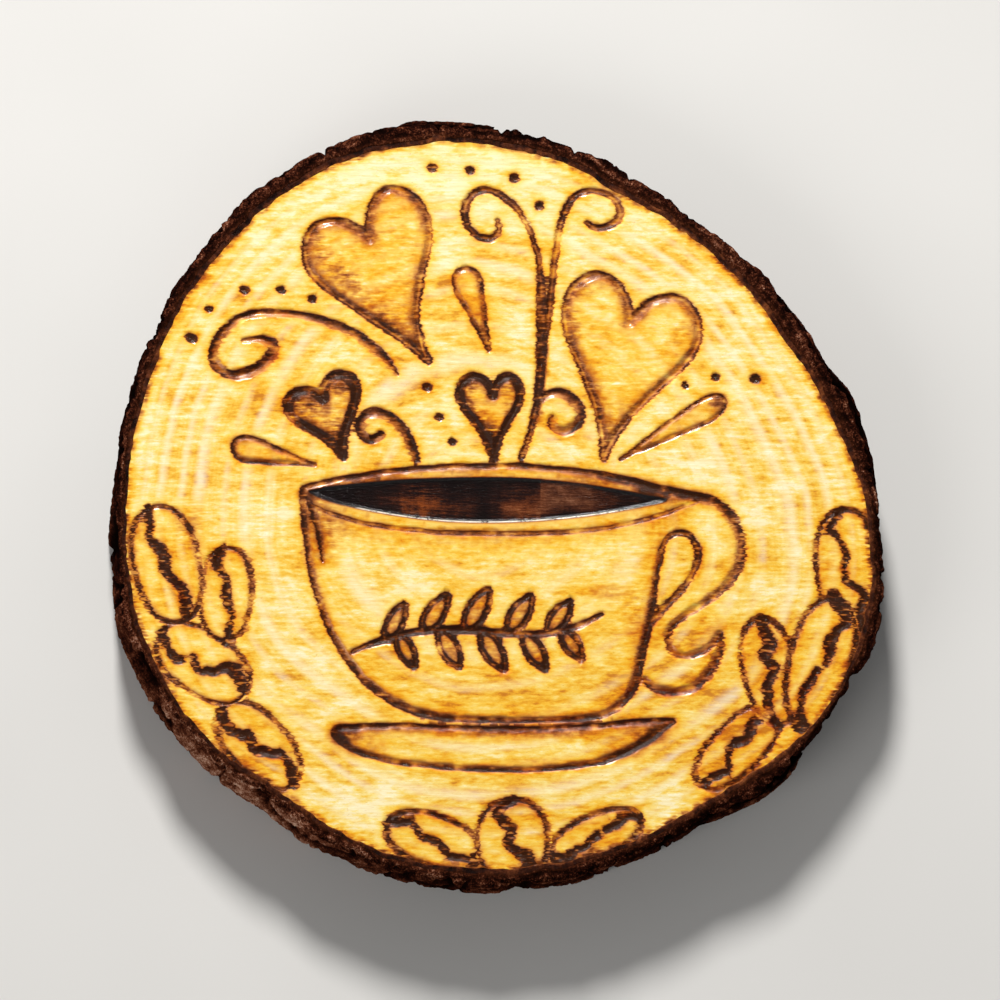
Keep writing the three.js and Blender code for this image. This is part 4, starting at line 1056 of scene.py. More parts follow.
def build(name, node, verts, faces, attrs, material, normals=None, top_count=0):
    """Make a piece from millimetres. attrs: {name: one value per vertex}. The first top_count
    faces take the given vertex normals, the rest then stay flat."""
    mesh = bpy.data.meshes.new(name)
    mesh.from_pydata((verts * MM).tolist(), [], faces.tolist())
    mesh.update()
    for key, values in attrs.items():
        attribute = mesh.attributes.new(key, "FLOAT", "POINT")
        attribute.data.foreach_set("value", np.asarray(values, np.float32))
    mesh.materials.append(material)
    count = len(mesh.polygons)
    mesh.polygons.foreach_set("use_smooth", np.ones(count, bool))
    if normals is not None:
        corner_vertex = np.empty(len(mesh.loops), np.int32)
        mesh.loops.foreach_get("vertex_index", corner_vertex)
        corners = np.empty(count, np.int32)
        mesh.polygons.foreach_get("loop_total", corners)
        corner_face = np.repeat(np.arange(count), corners)
        flat = np.empty(count * 3, np.float32)
        mesh.polygons.foreach_get("normal", flat)
        custom = flat.reshape(-1, 3)[corner_face]
        top = corner_face < top_count
        custom[top] = normals[corner_vertex[top]]
        mesh.normals_split_custom_set(custom.tolist())
    obj = bpy.data.objects.new(name, mesh)
    bpy.context.scene.collection.objects.link(obj)
    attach(obj, "root")
    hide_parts(node)


# ------------------------------------------------------------------ materials


def linear(*rgb):
    """Linear RGBA from 0-255 sRGB."""
    return tuple(c / 255 / 12.92 if c / 255 <= 0.04045 else ((c / 255 + 0.055) / 1.055) ** 2.4
                 for c in rgb) + (1.0,)


class Shader:
    """Short calls that build one material's node tree; positions are in millimetres."""

    def __init__(self, name):
        self.material = bpy.data.materials.new(name)
        self.material.use_nodes = True
        self.tree = self.material.node_tree
        self.tree.nodes.clear()
        coords = self.node("ShaderNodeTexCoord").outputs["Object"]
        self.position = self.node("ShaderNodeVectorMath", {0: coords, "Scale": 1 / MM},
                                  operation="SCALE").outputs[0]

    def node(self, kind, inputs=(), **props):
        """inputs: a list in socket order, or {socket name or number: value}."""
        node = self.tree.nodes.new(kind)
        for key, value in props.items():
            setattr(node, key, value)
        for key, value in inputs.items() if isinstance(inputs, dict) else enumerate(inputs):
            if isinstance(value, bpy.types.NodeSocket):
                self.tree.links.new(value, node.inputs[key])
            else:
                node.inputs[key].default_value = value
        return node

    def math(self, operation, a, b=0.0, clamp=False):
        return self.node("ShaderNodeMath", (a, b, 0.0), operation=operation,
                         use_clamp=clamp).outputs[0]

    def add(self, first, *rest):
        return self.math("ADD", first, self.add(*rest)) if rest else first

    def mul(self, first, *rest):
        return self.math("MULTIPLY", first, self.mul(*rest)) if rest else first

    def attrs(self, *names):
        return [self.node("ShaderNodeAttribute", attribute_name=name).outputs["Fac"]
                for name in names]

    def stretched(self, scale, offset=(0, 0, 0)):
        return self.node("ShaderNodeVectorMath", (self.position, scale, offset),
                         operation="MULTIPLY_ADD").outputs[0]

    def noise(self, scale, detail, roughness=0.5, offset=(0, 0, 0), vector=None):
        """Noise centred on 0; scale is cells per millimetre on each axis."""
        inputs = {"Vector": vector or self.stretched(scale, offset), "Scale": 1.0,
                  "Detail": detail, "Roughness": roughness}
        return self.math("SUBTRACT", self.node("ShaderNodeTexNoise", inputs).outputs["Fac"], 0.5)

    def range(self, value, from_low, from_high, low=0.0, high=1.0):
        return self.node("ShaderNodeMapRange", (value, from_low, from_high, low, high),
                         interpolation_type="SMOOTHSTEP", clamp=True).outputs[0]

    def decay(self, value, length, amount=1.0):
        """amount * exp(-max(value, 0) / length)"""
        power = self.mul(self.math("MAXIMUM", value, 0.0), -1.0 / length)
        return self.mul(self.math("EXPONENT", power), amount)

    def ramp(self, fac, stops, is_linear=False, interpolation="LINEAR"):
        """stops: (place, red, green, blue), in 0-255 sRGB unless linear."""
        node = self.node("ShaderNodeValToRGB", [fac])
        node.color_ramp.interpolation = interpolation
        elements = node.color_ramp.elements
        while len(elements) > 1:
            elements.remove(elements[0])
        elements[0].position = stops[0][0]
        for number, (at, *rgb) in enumerate(stops):
            stop = elements.new(at) if number else elements[0]
            stop.color = (*rgb, 1) if is_linear else linear(*rgb)
        return node.outputs["Color"]

    def mix(self, fac, a, b, mode="MIX"):
        return self.node("ShaderNodeMix", {0: fac, 6: a, 7: b}, data_type="RGBA",
                         blend_type=mode).outputs[2]

    def bump(self, height, distance, strength=1.0, normal=None):
        """distance is in metres."""
        inputs = {"Strength": strength, "Distance": distance, "Height": height}
        if normal is not None:
            inputs["Normal"] = normal
        return self.node("ShaderNodeBump", inputs).outputs[0]

    def finish(self, **inputs):
        inputs = {key.replace("_", " "): value for key, value in inputs.items()}
        surface = self.node("ShaderNodeBsdfPrincipled", inputs)
        self.node("ShaderNodeOutputMaterial", [surface.outputs[0]])
        return self.material


# pale growth rings: share of the way from pith to bark, half width, strength
RINGS = [
    (0.10, 0.012, 0.30), (0.19, 0.014, 0.35), (0.29, 0.016, 0.40), (0.402, 0.030, 0.85),
    (0.50, 0.014, 0.40), (0.60, 0.014, 0.45), (0.665, 0.018, 0.75), (0.725, 0.012, 0.45),
    (0.80, 0.018, 0.75), (0.848, 0.012, 0.65), (0.905, 0.013, 0.70), (0.953, 0.010, 0.40),
]
WOOD_TONES = [(0.0, 255, 240, 192), (0.18, 253, 229, 150), (0.42, 250, 213, 104),
              (0.62, 246, 194, 66), (0.82, 234, 166, 46), (1.0, 206, 132, 40)]
# what the wood's colour is multiplied by, from unburned to charred (linear)
BURN_TINT = [(0.0, 1, 1, 1), (0.045, 1.0, 0.92, 0.62), (0.09, 0.99, 0.83, 0.33),
             (0.17, 0.93, 0.64, 0.19), (0.29, 0.72, 0.37, 0.12), (0.42, 0.48, 0.19, 0.07),
             (0.57, 0.25, 0.082, 0.04), (0.74, 0.115, 0.036, 0.022), (1.0, 0.042, 0.015, 0.011)]
COFFEE_TONES = [(0.0, 16, 8, 8), (0.12, 34, 15, 11), (0.26, 68, 33, 19), (0.42, 106, 62, 40),
                (0.6, 146, 98, 70), (0.85, 190, 142, 108)]
COFFEE_RUST = [(0.1, 60, 24, 12), (0.35, 138, 66, 24), (0.7, 196, 112, 52)]
# along x: how light the coffee is (dark ends and middle) and how rusty
COFFEE_LIGHT = [(-24, 0.02), (-16, 0.06), (-9.5, 0.30), (-2, 0.07), (2.5, 0.34), (9, 0.36),
                (19, 0.03)]
COFFEE_RUSTY = [(-17, 0), (-9.5, 1.0), (-3, 0.0), (3, 0.4), (6, 0.0)]
COFFEE_START, COFFEE_SPAN = 24.0, 46.0    # the x tables run over -24 to 22


def ring_ramp(shader, share, rings):
    stops = [(0.0, 0, 0, 0)]
    for at, half, level in rings:
        stops += [(at - half * 1.6, 0, 0, 0), (at + half * 0.2, level, level, level),
                  (at + half * 1.3, 0, 0, 0)]
    return shader.ramp(share, stops, is_linear=True, interpolation="EASE")


def bare_wood(shader, rho, warmth_and_light):
    """Honey-coloured wood with pale rings and blotches drawn out along the saw lines.
    Gives the colour and the coarse and fine saw marks."""
    add, mul, noise = shader.add, shader.mul, shader.noise
    wobble = mul(noise((0.11, 0.11, 0.05), 3.0), 0.030)
    fine_wobble = mul(noise((0.5, 0.5, 0.2), 2.0, offset=(4, 1, 0)), 0.006)
    share = add(rho, wobble, fine_wobble)
    ring = shader.math("MAXIMUM", ring_ramp(shader, share, RINGS[:6]),
                       ring_ramp(shader, share, RINGS[6:]))
    patch = noise((0.13, 0.20, 0.1), 3.0, 0.6, (3.1, 7.7, 0))
    streak = noise((0.28, 1.0, 0.2), 4.0, 0.62, (1.1, 2.7, 0))
    ring = shader.math("MULTIPLY", ring, add(0.95, mul(patch, 1.8), mul(streak, 0.9)), clamp=True)
    along_rings = shader.node("ShaderNodeCombineXYZ", [mul(share, 60.0)]).outputs[0]
    fine_ring = noise(None, 2.0, vector=along_rings)
    fleck = noise((0.9, 2.4, 0.4), 3.0, 0.65, (6.1, 0.7, 0))
    tone = add(warmth_and_light, 0.05, mul(patch, 1.8), mul(streak, 1.8), mul(fine_ring, 0.5),
               mul(fleck, 1.15))
    colour = shader.ramp(tone, WOOD_TONES)
    colour = shader.mix(mul(ring, 0.80), colour, linear(255, 240, 200))
    saw = noise((0.06, 2.5, 0.6), 2.0, 0.6)
    saw_fine = noise((0.42, 3.8, 2.0), 3.0, 0.7)
    sawn = add(mul(saw, 0.50), mul(saw_fine, 0.95))
    # saw marks tint blue most, red least
    veil = shader.node("ShaderNodeCombineColor",
                       [add(1.0, mul(sawn, amount)) for amount in (0.30, 0.66, 1.5)])
    colour = shader.mix(1.0, colour, veil.outputs[0], "MULTIPLY")
    pore = noise((2.4, 6.5, 2.0), 3.0, 0.65)
    colour = shader.mix(shader.range(pore, 0.10, 0.24, 0.0, 0.55), colour, linear(206, 140, 58))
    return colour, saw, saw_fine


def burn_total(shader, hatch_fine, attrs):
    """How much the wood is burned, 0 to about 3; the pen skips over saw lines along X."""
    add, mul, noise = shader.add, shader.mul, shader.noise
    gap, gap_x, power, side, toast, ragged = attrs
    hatch = noise((0.50, 2.5, 0.0), 1.0, 0.45, (0.3, 2.2, 0))
    blot = noise((0.9, 1.2, 0.0), 2.0, 0.5, (1.7, 4.4, 0))
    # upright edges cross the saw lines and break up most, and so does the soft side
    upright = add(0.22, mul(gap_x, 0.9))
    jag = mul(add(mul(hatch, 1.50), mul(hatch_fine, 0.85)), upright)
    soft = shader.range(side, 0.6, -0.6, 0.0, 1.0)
    jagged = add(gap, mul(jag, add(0.16, mul(ragged, 0.66), mul(soft, 0.95))), mul(blot, 0.30))
    reach = add(0.07, mul(soft, 0.30))
    outside = mul(shader.math("MAXIMUM", jagged, 0.0), -1.0)
    fall = shader.math("EXPONENT", shader.math("DIVIDE", outside, reach))
    # darkest towards the sharp side of the stroke
    off = shader.math("DIVIDE", shader.math("SUBTRACT", side, 0.95), 0.50)
    across = add(0.26, mul(0.80, shader.math("EXPONENT", mul(mul(off, off), -1.0))))
    comb = mul(add(0.25, mul(upright, 0.75)), add(0.45, mul(ragged, 0.75)))
    dwell = add(1.0, mul(blot, 2.8), mul(hatch, 3.4, comb), mul(hatch_fine, 2.2, comb))
    dwell = shader.math("MAXIMUM", dwell, 0.0)
    line = mul(power, across, fall, add(0.20, mul(dwell, 0.80)))
    glow = add(shader.decay(jagged, length=0.30, amount=0.30),
               shader.decay(add(gap, mul(blot, 1.2)), length=0.9, amount=0.12))
    return add(line, mul(toast, dwell), mul(glow, shader.math("MINIMUM", power, 1.6)))


def coffee_colour(shader, colour, gap, grain):
    """One pass of the pen after another: black at the left, rust left of the middle, an
    upright seam, then brown fading to black."""
    add, mul, noise = shader.add, shader.mul, shader.noise
    x, y = shader.node("ShaderNodeSeparateXYZ", [shader.position]).outputs[:2]
    bands = noise((0.50, 0.07, 0.0), 3.0, 0.6, (3.3, 0.0, 0))
    patches = noise((0.34, 0.62, 0.0), 3.0, 0.65, (0.4, 6.0, 0))
    lines = noise((0.30, 4.2, 0.0), 3.0, 0.7, (2.4, 1.0, 0))
    share = shader.math("DIVIDE", add(add(x, mul(patches, 1.6), mul(y, 0.10)), COFFEE_START),
                        COFFEE_SPAN)

    def along_x(table):
        stops = [((at + COFFEE_START) / COFFEE_SPAN, v, v, v) for at, v in table]
        return shader.ramp(share, stops, is_linear=True)

    level = along_x(COFFEE_LIGHT)
    # left of the seam the near half is lighter, right of it the far half
    left = shader.range(y, 1.2, -0.4, 0.45, 1.0)
    right = shader.range(add(y, mul(x, -0.10)), -2.6, -0.8, 0.35, 1.0)
    shade = shader.mix(shader.range(x, 4.6, 4.8), left, right)
    level = add(mul(level, shade, add(1.0, mul(patches, 2.4))), mul(lines, 0.50),
                mul(grain, 0.30), mul(bands, 0.30))
    border = shader.decay(mul(gap, -1.0), length=0.45, amount=0.25)
    level = shader.math("SUBTRACT", level, border)
    dark = shader.ramp(level, COFFEE_TONES)
    rust = mul(along_x(COFFEE_RUSTY), shader.range(level, 0.10, 0.30))
    dark = shader.mix(rust, dark, shader.ramp(level, COFFEE_RUST))
    colour = shader.mix(shader.range(gap, 0.04, -0.06), colour, dark)
    # painted highlight: a white glint along the edge towards -Y, where the pool's wall faces the light
    painted_glint = mul(shader.range(shader.math("ABSOLUTE", add(gap, 0.02)), 0.15, 0.06),
               shader.range(y, -0.2, -0.9),
               shader.range(add(bands, mul(grain, 0.8)), -0.16, 0.02))
    return shader.mix(mul(painted_glint, 0.78), colour, linear(250, 240, 218))


def soot(shader, colour, under):
    """Dark specks on the upper face, in a few of the cells."""
    cells = shader.node("ShaderNodeTexVoronoi", {"Vector": shader.stretched((0.55, 0.55, 0.0))},
                        feature="F1")
    chance, size = shader.node("ShaderNodeSeparateColor", [cells.outputs["Color"]]).outputs[:2]
    chosen = shader.math("GREATER_THAN", chance, 0.86)
    radius = shader.add(0.02, shader.mul(size, 0.045))
    beyond = shader.math("SUBTRACT", cells.outputs["Distance"], radius)
    speck = shader.mul(chosen, shader.range(beyond, 0.02, -0.01),
                       shader.math("SUBTRACT", 1.0, under))
    return shader.mix(shader.mul(speck, 0.8), colour, linear(60, 30, 18))


def burned_wood(name, fill=False):
    shader = Shader(name)
    add, mul, subtract = shader.add, shader.mul, lambda a, b: shader.math("SUBTRACT", a, b)
    gap, *others = shader.attrs("phi", "gx", "sear", "side", "toast", "rag")
    rho, under, warmth_and_light = shader.attrs("rho", "under", "warmth_and_light")
    base, saw, saw_fine = bare_wood(shader, rho, warmth_and_light)
    hatch_fine = shader.noise((1.1, 4.6, 0.0), 1.0, 0.5, (5.3, 1.2, 0))
    total = burn_total(shader, hatch_fine, (gap, *others))
    hot = shader.math("MULTIPLY", total, 1 / 3.0, clamp=True)
    tint = shader.ramp(hot, BURN_TINT, is_linear=True)
    colour = shader.mix(1.0, base, tint, "MULTIPLY")
    charred = shader.range(total, 0.9, 2.0)
    grain = shader.noise((3.0, 8.0, 0.0), 3.0, 0.65, (2.0, 9.0, 0))
    if fill:
        colour = coffee_colour(shader, colour, gap, grain)
        # the pool's floor is rubbed dull, its wall keeps the varnish
        coat = shader.range(gap, -0.50, -0.34, 0.10, 1.0)
        coat_roughness, specular = 0.08, 0.05
    else:
        coat = mul(subtract(1.0, mul(under, 0.7)), subtract(0.50, mul(charred, 0.22)))
        coat_roughness = add(0.13, mul(charred, 0.03))
        specular = subtract(0.30, mul(charred, 0.26))
    height = add(mul(saw, 0.5), mul(saw_fine, 0.35))
    grit = mul(add(grain, mul(hatch_fine, 0.8)), charred)
    sawn = shader.bump(height, distance=0.00002, strength=0.8)
    return shader.finish(
        Base_Color=soot(shader, colour, under),
        Roughness=add(0.40, mul(charred, 0.18)),
        Normal=shader.bump(grit, distance=0.00008, normal=sawn),
        Coat_Weight=coat,
        Coat_Roughness=coat_roughness,
        Coat_Normal=shader.bump(add(height, mul(grit, 2.0)), distance=0.00003),
        Specular_IOR_Level=specular)


INNER_TONES = [(0.0, 26, 12, 9), (0.3, 58, 27, 16), (0.55, 92, 46, 25), (0.8, 136, 76, 40),
               (1.0, 178, 112, 62)]
OUTER_TONES = [(0.0, 9, 4, 3), (0.26, 27, 10, 7), (0.46, 60, 26, 16), (0.66, 106, 58, 38),
               (0.84, 158, 108, 84), (1.0, 206, 168, 144)]
RED_TONES = [(0.2, 38, 17, 11), (0.5, 74, 36, 20), (0.85, 120, 66, 36)]


def bark_material(name, lift, inner=False):
    """lift brightens the whole bark."""
    shader = Shader(name)
    add, mul = shader.add, shader.mul
    relief, layer, light = shader.attrs("relief", "layer", "light")
    coarse = shader.noise((0.55, 0.55, 0.30), 5.0, 0.62)
    medium = shader.noise((2.6, 2.6, 1.4), 4.0, 0.65, (4, 2, 1))
    fine = shader.noise((9.0, 9.0, 6.0), 3.0, 0.6, (1, 6, 3))
    level = add(mul(relief, 0.40), mul(coarse, 0.8), mul(medium, 0.75), mul(fine, 0.4))
    level = add(level, light)
    if inner:
        # palest where it meets the wood
        level = add(level, add(lift, shader.decay(layer, length=0.22, amount=0.30)))
        colour = shader.ramp(level, INNER_TONES)
        coat, roughness = 0.08, 0.5
    else:
        # the sawn top is speckled, the weathered side is plated
        fleck = shader.noise((4.6, 4.6, 2.4), 3.0, 0.75, (7, 7, 1))
        speckle = mul(fleck, shader.range(layer, 0.80, 1.0, 1.7, 0.75))
        plate = shader.noise((0.9, 0.9, 0.42), 4.0, 0.6, (2, 8, 5))
        level = add(add(level, lift), speckle, mul(fine, 0.4), mul(plate, 0.55))
        colour = shader.ramp(level, OUTER_TONES)
        # redder beside the inner bark
        red = mul(shader.decay(layer, length=0.22), shader.range(coarse, -0.2, 0.2, 0.35, 1.0))
        colour = shader.mix(mul(red, 0.8), colour, shader.ramp(add(0.5, medium), RED_TONES))
        coat, roughness = 0.0, 0.72
    lumps = shader.bump(medium, distance=0.0003, strength=0.8)
    normal = shader.bump(fine, distance=0.00012, strength=0.8, normal=lumps)
    return shader.finish(Base_Color=colour, Roughness=roughness, Normal=normal, Coat_Weight=coat,
                         Coat_Roughness=0.3, Coat_Normal=normal, Specular_IOR_Level=0.0)


def pith_material():
    shader = Shader("pith")
    coarse = shader.noise((2.4, 2.4, 0.3), 4.0, 0.6)
    fine = shader.noise((7.0, 7.0, 1.0), 2.0, 0.6, (2, 2, 2))
    level = shader.add(0.5, shader.mul(coarse, 1.1), shader.mul(fine, 0.6))
    colour = shader.ramp(level, [(0.1, 96, 56, 30), (0.45, 150, 96, 52), (0.8, 196, 142, 84)])
    return shader.finish(Base_Color=colour, Roughness=0.6,
                         Normal=shader.bump(fine, distance=0.0001),
                         Coat_Weight=0.2, Coat_Roughness=0.3)


def floor_material():
    shader = Shader("floor")
    level = shader.add(0.5, shader.noise((0.02, 0.02, 0.02), 2.0))
    colour = shader.ramp(level, [(0.3, 0.70, 0.69, 0.67), (0.7, 0.74, 0.73, 0.71)],
                         is_linear=True)
    return shader.finish(Base_Color=colour, Roughness=0.8)


MAT_WOOD = burned_wood("wood, varnished and burned")
MAT_CHAR = burned_wood("char of the lines")
MAT_FILL = burned_wood("char of the coffee", fill=True)
MAT_BARK = bark_material("outer bark", lift=0.29)
MAT_INNER = bark_material("inner bark", lift=0.36, inner=True)
MAT_SCALE = bark_material("bark scale", lift=0.33)

# ------------------------------------------------------------------ wood, char and pith

z_wood = z_top - thickness    # the wood's own floor, under the char
in_pith = np.isin(triangles, pith_ids).all(1) | (from_pith(face[triangles].mean(1)) < PITH_CUT)


def wall(upper, lower):
    """Triangles between two rings of vertex ids, facing outward."""
    next_upper, next_lower = np.roll(upper, -1), np.roll(lower, -1)
    return np.vstack([np.column_stack([upper, lower, next_lower]),
                      np.column_stack([upper, next_lower, next_upper])])


def build_wood():
    top_tris = triangles[~in_pith]
    verts = [np.column_stack([face, z_wood])]
    faces = [top_tris]
    upper, count = rim_ids, N
    for z in (7.5, 5.0, 2.5, 0.12):
        verts.append(np.column_stack([rim, np.full(RIM_STEPS, z)]))
        ring = np.arange(count, count + RIM_STEPS)
        faces.append(wall(upper, ring))
        upper, count = ring, count + RIM_STEPS
    # underside, with the pith's hole through to it
    inside = within(grid(np.arange(-46, 46, 1.0), np.arange(-46, 46, 0.87), 0.5), 0.6)
    inside = inside[from_pith(inside) > PITH_R + 0.5]
    bottom_rim = rim * 0.999
    bottom, tris, bottom_rim_ids, bottom_pith = triangulate(
        np.vstack([bottom_rim, pith_ring, inside]), bottom_rim, -1)
    tris = tris[from_pith(bottom[tris].mean(1)) > PITH_CUT]
    z = 0.012 + 0.012 * fractal(bottom[:, 0] / 14, bottom[:, 1] * 1.1, 3, 77)
    verts.append(np.column_stack([bottom, np.maximum(z, 0)]))
    faces += [tris + count, wall(upper, bottom_rim_ids + count),
              wall(pith_ids, bottom_pith + count)[:, ::-1]]
    verts, faces = np.vstack(verts), np.vstack(faces)
    extra = len(verts) - N
    # values off the upper face
    plain = {"phi": FAR, "gx": 0.0, "sear": 0.0, "side": 0.7, "toast": 0.0, "rag": 0.5,
             "rho": 1.0, "warmth_and_light": 0.4, "under": 1.0}
    attrs = {key: np.concatenate([values, np.full(extra, plain[key])])
             for key, values in FACE_ATTRS.items()}
    attrs["rho"][count:] = ring_share(bottom)
    attrs["warmth_and_light"][count:] = warmth(bottom)
    used = np.zeros(len(verts), bool)
    used[np.unique(faces)] = True
    renumbered = np.cumsum(used) - 1
    normals = np.vstack([face_normals, np.zeros((extra, 3))])[used]
    build("wood_slice", "wood_disc", verts[used], renumbered[faces],
          {key: values[used] for key, values in attrs.items()}, MAT_WOOD, normals, len(top_tris))


def build_char(mark, tris, border, inner):
    """The char in one mark; its upper side is the groove's own surface."""
    ids = np.concatenate([border, inner])
    upper = np.full(N, -1)
    upper[ids] = np.arange(len(ids))
    lower = upper.copy()
    lower[inner] = len(ids) + np.arange(len(inner))
    # 0.006 keeps the underside just clear of the wood
    floor_z = z_top[inner] - thickness[inner] + 0.006
    verts = np.vstack([np.column_stack([face[ids], z_top[ids]]),
                       np.column_stack([face[inner], floor_z])])
    faces = np.vstack([upper[tris], lower[tris][:, ::-1]])
    take = np.concatenate([ids, inner])
    attrs = {key: values[take] for key, values in FACE_ATTRS.items()}
    build("char_" + mark.name, mark.name, verts,
          faces, attrs, MAT_FILL if mark.filled else MAT_CHAR, face_normals[take], len(tris))


def build_pith():
    """A plug in the wood's hole, its top part of the same face."""
    fan = triangles[in_pith]
    ids = np.unique(fan)
    local = np.full(N, -1)
    local[ids] = np.arange(len(ids))
    base = len(ids)
    verts = np.vstack([np.column_stack([face[ids], z_wood[ids]]),
                       np.column_stack([pith_ring, np.full(PITH_STEPS, 0.03)]),
                       [[PITH[0], PITH[1], 0.05]]])
    faces = local[fan].tolist()
    for k in range(PITH_STEPS):
        k2 = (k + 1) % PITH_STEPS
        top, next_top = local[pith_ids[k]], local[pith_ids[k2]]
        low, next_low = base + k, base + k2
        faces += [[top, low, next_low], [top, next_low, next_top],
                  [low, base + PITH_STEPS, next_low]]
    build("pith_plug", "pith_core", verts, np.array(faces), {}, pith_material())


build_wood()
for mark, (tris, border, inner) in zip(ORDER, pieces):
    build_char(mark, tris, border, inner)
build_pith()

# ------------------------------------------------------------------ bark

THETA = np.arange(BARK_STEPS) / BARK_STEPS * 2 * np.pi
TURN = THETA / (2 * np.pi)


class RingStack:
    """Rings around the slice, joined in turn and closed from last to first."""

    def __init__(self):
        self.rows, self.relief, self.layer = [], [], []

    def add(self, radius, z, relief, layer):
        z, relief, layer = (np.broadcast_to(value, THETA.shape) for value in (z, relief, layer))
        self.rows.append(np.column_stack([radius * np.cos(THETA), radius * np.sin(THETA), z]))
        self.relief.append(relief)
        self.layer.append(layer)

    def build(self, name, node, light, material):
        i = np.arange(BARK_STEPS)
        i2 = (i + 1) % BARK_STEPS
        faces = []
        for k in range(len(self.rows)):
            this, other = k * BARK_STEPS, (k + 1) % len(self.rows) * BARK_STEPS
            faces.append(np.column_stack([this + i2, other + i2, other + i, this + i]))
        attrs = {"relief": np.concatenate(self.relief), "layer": np.concatenate(self.layer),
                 "light": light}
        build(name, node, np.vstack(self.rows), np.vstack(faces), attrs, material)


def lobe(theta, centre, width):
    """A soft bump around the rim; centre and width in degrees."""
    offset = (np.degrees(theta) - centre + 180) % 360 - 180
    return np.exp(-(offset / width) ** 2)


def side_relief(theta, z):
    """Radial relief of the weathered outside: plates between upright fissures, flaky grain."""
    turn = turn_of(theta)
    warp = 0.5 * around(turn, 70, z * 0.16, 61)
    fissure = np.abs(noise(turn * 78 + warp, z * 0.10 + 3, 62, 78))
    crack = np.abs(noise(turn * 190 + warp, z * 0.35 + 9, 63, 190))
    cross = np.abs(around(turn, 60, z * 0.42 + warp, 64))
    grain = fractal(turn * 420, z * 0.7, 3, 65, 0.6, 420)
    lump = fractal(turn * 44, z * 0.2, 2, 66, 0.5, 44)
    return (0.28 * lump - 0.50 * (1 - smoothstep(0.0, 0.30, fissure))
            - 0.20 * (1 - smoothstep(0.0, 0.26, crack))
            - 0.16 * (1 - smoothstep(0.0, 0.14, cross)) + 0.18 * grain)


def flare(theta, z):
    """The lower edge stands out towards -X -Y, and a narrow bulge sits near +Y."""
    out = 0.95 * lobe(theta, 222, 34) + 0.35 * lobe(theta, 285, 40) - 0.2 * lobe(theta, 60, 60)
    return out * smoothstep(9.6, 2.0, z) + 0.35 * lobe(theta, 85, 7)


def build_outer_bark():
    stack = RingStack()
    inside, outside = inner_radius(THETA), bark_radius(THETA)
    span = outside - inside
    top_rows, side_rows, foot_z = 13, 26, 0.42
    # sawn top, crumbling towards the outside
    for k in range(top_rows):
        s = k / (top_rows - 1)
        radius = inside + span * s * 0.93 + side_relief(THETA, 9.0) * smoothstep(0.35, 1.0, s)
        inward = radius - inside
        relief = (0.5 * around(TURN, 120, inward * 2.6 + 5, 71)
                  + 0.35 * around(TURN, 330, inward * 2.2, 72)
                  + 0.25 * around(TURN, 760, inward * 4.0, 73))
        crumble = 0.30 * np.maximum(0, around(TURN, 150, 0.4, 74)) * smoothstep(0.5, 1.0, s)
        rise = smoothstep(0.0, 0.25, s) * 0.30 * relief * 0.75
        top_z = TOP - 0.13 - 0.42 * s ** 2.2 + rise - crumble
        stack.add(radius, top_z, relief, s)
    # rounded shoulder
    for k in range(1, 5):
        t = k / 5
        z = top_z - 0.75 * (1 - math.cos(t * math.pi / 2))
        radius = (inside + span * (0.93 + 0.07 * math.sin(t * math.pi / 2))
                  + side_relief(THETA, 9.0 - 0.5 * t) + flare(THETA, z))
        stack.add(radius, z, side_relief(THETA, 9.0 - t) * 2.2, 1.0)
    # weathered side
    for k in range(side_rows):
        t = k / (side_rows - 1)
        z = (top_z - 0.80) * (1 - t) + foot_z * t
        relief = side_relief(THETA, 8.6 * (1 - t) + 0.4 * t)
        radius = outside + relief + flare(THETA, z) + 0.05 * around(TURN, 900, z * 2.5, 75)
        stack.add(radius, z, relief * 2.2, 1.0)
    # rounded foot, underside, and the hidden wall against the inner bark
    side_radius = radius
    for t in (0.25, 0.5, 0.75, 1.0):
        radius = side_radius - 0.45 * (1 - math.cos(t * math.pi / 2))
        stack.add(radius, foot_z - 0.36 * math.sin(t * math.pi / 2), -0.1, 1.0)
    foot_radius = radius
    for k in range(1, 9):
        s = k / 8
        radius = foot_radius + (inside - foot_radius) * s
        relief = (0.5 * around(TURN, 260, radius * 2.0, 76)
                  + 0.3 * around(TURN, 520, radius * 3.0, 77))
        stack.add(radius, 0.06 + 0.05 * (relief + 0.8) * (1 - s) + 0.03 * s, relief, 1 - s)
    for z in (3.0, 6.5):
        stack.add(inside, z, 0, 0)
    light = (0.16 * lobe(THETA, 262, 40) + 0.42 * lobe(THETA, 222, 24)
             - 0.06 * lobe(THETA, 170, 40) + 0.05 * lobe(THETA, 60, 60))
    light = np.concatenate([light * (0.25 + 0.75 * min(1.0, (k / top_rows) ** 2))
                            for k in range(len(stack.rows))])
    stack.build("bark_outer", "outer_bark", light, MAT_BARK)


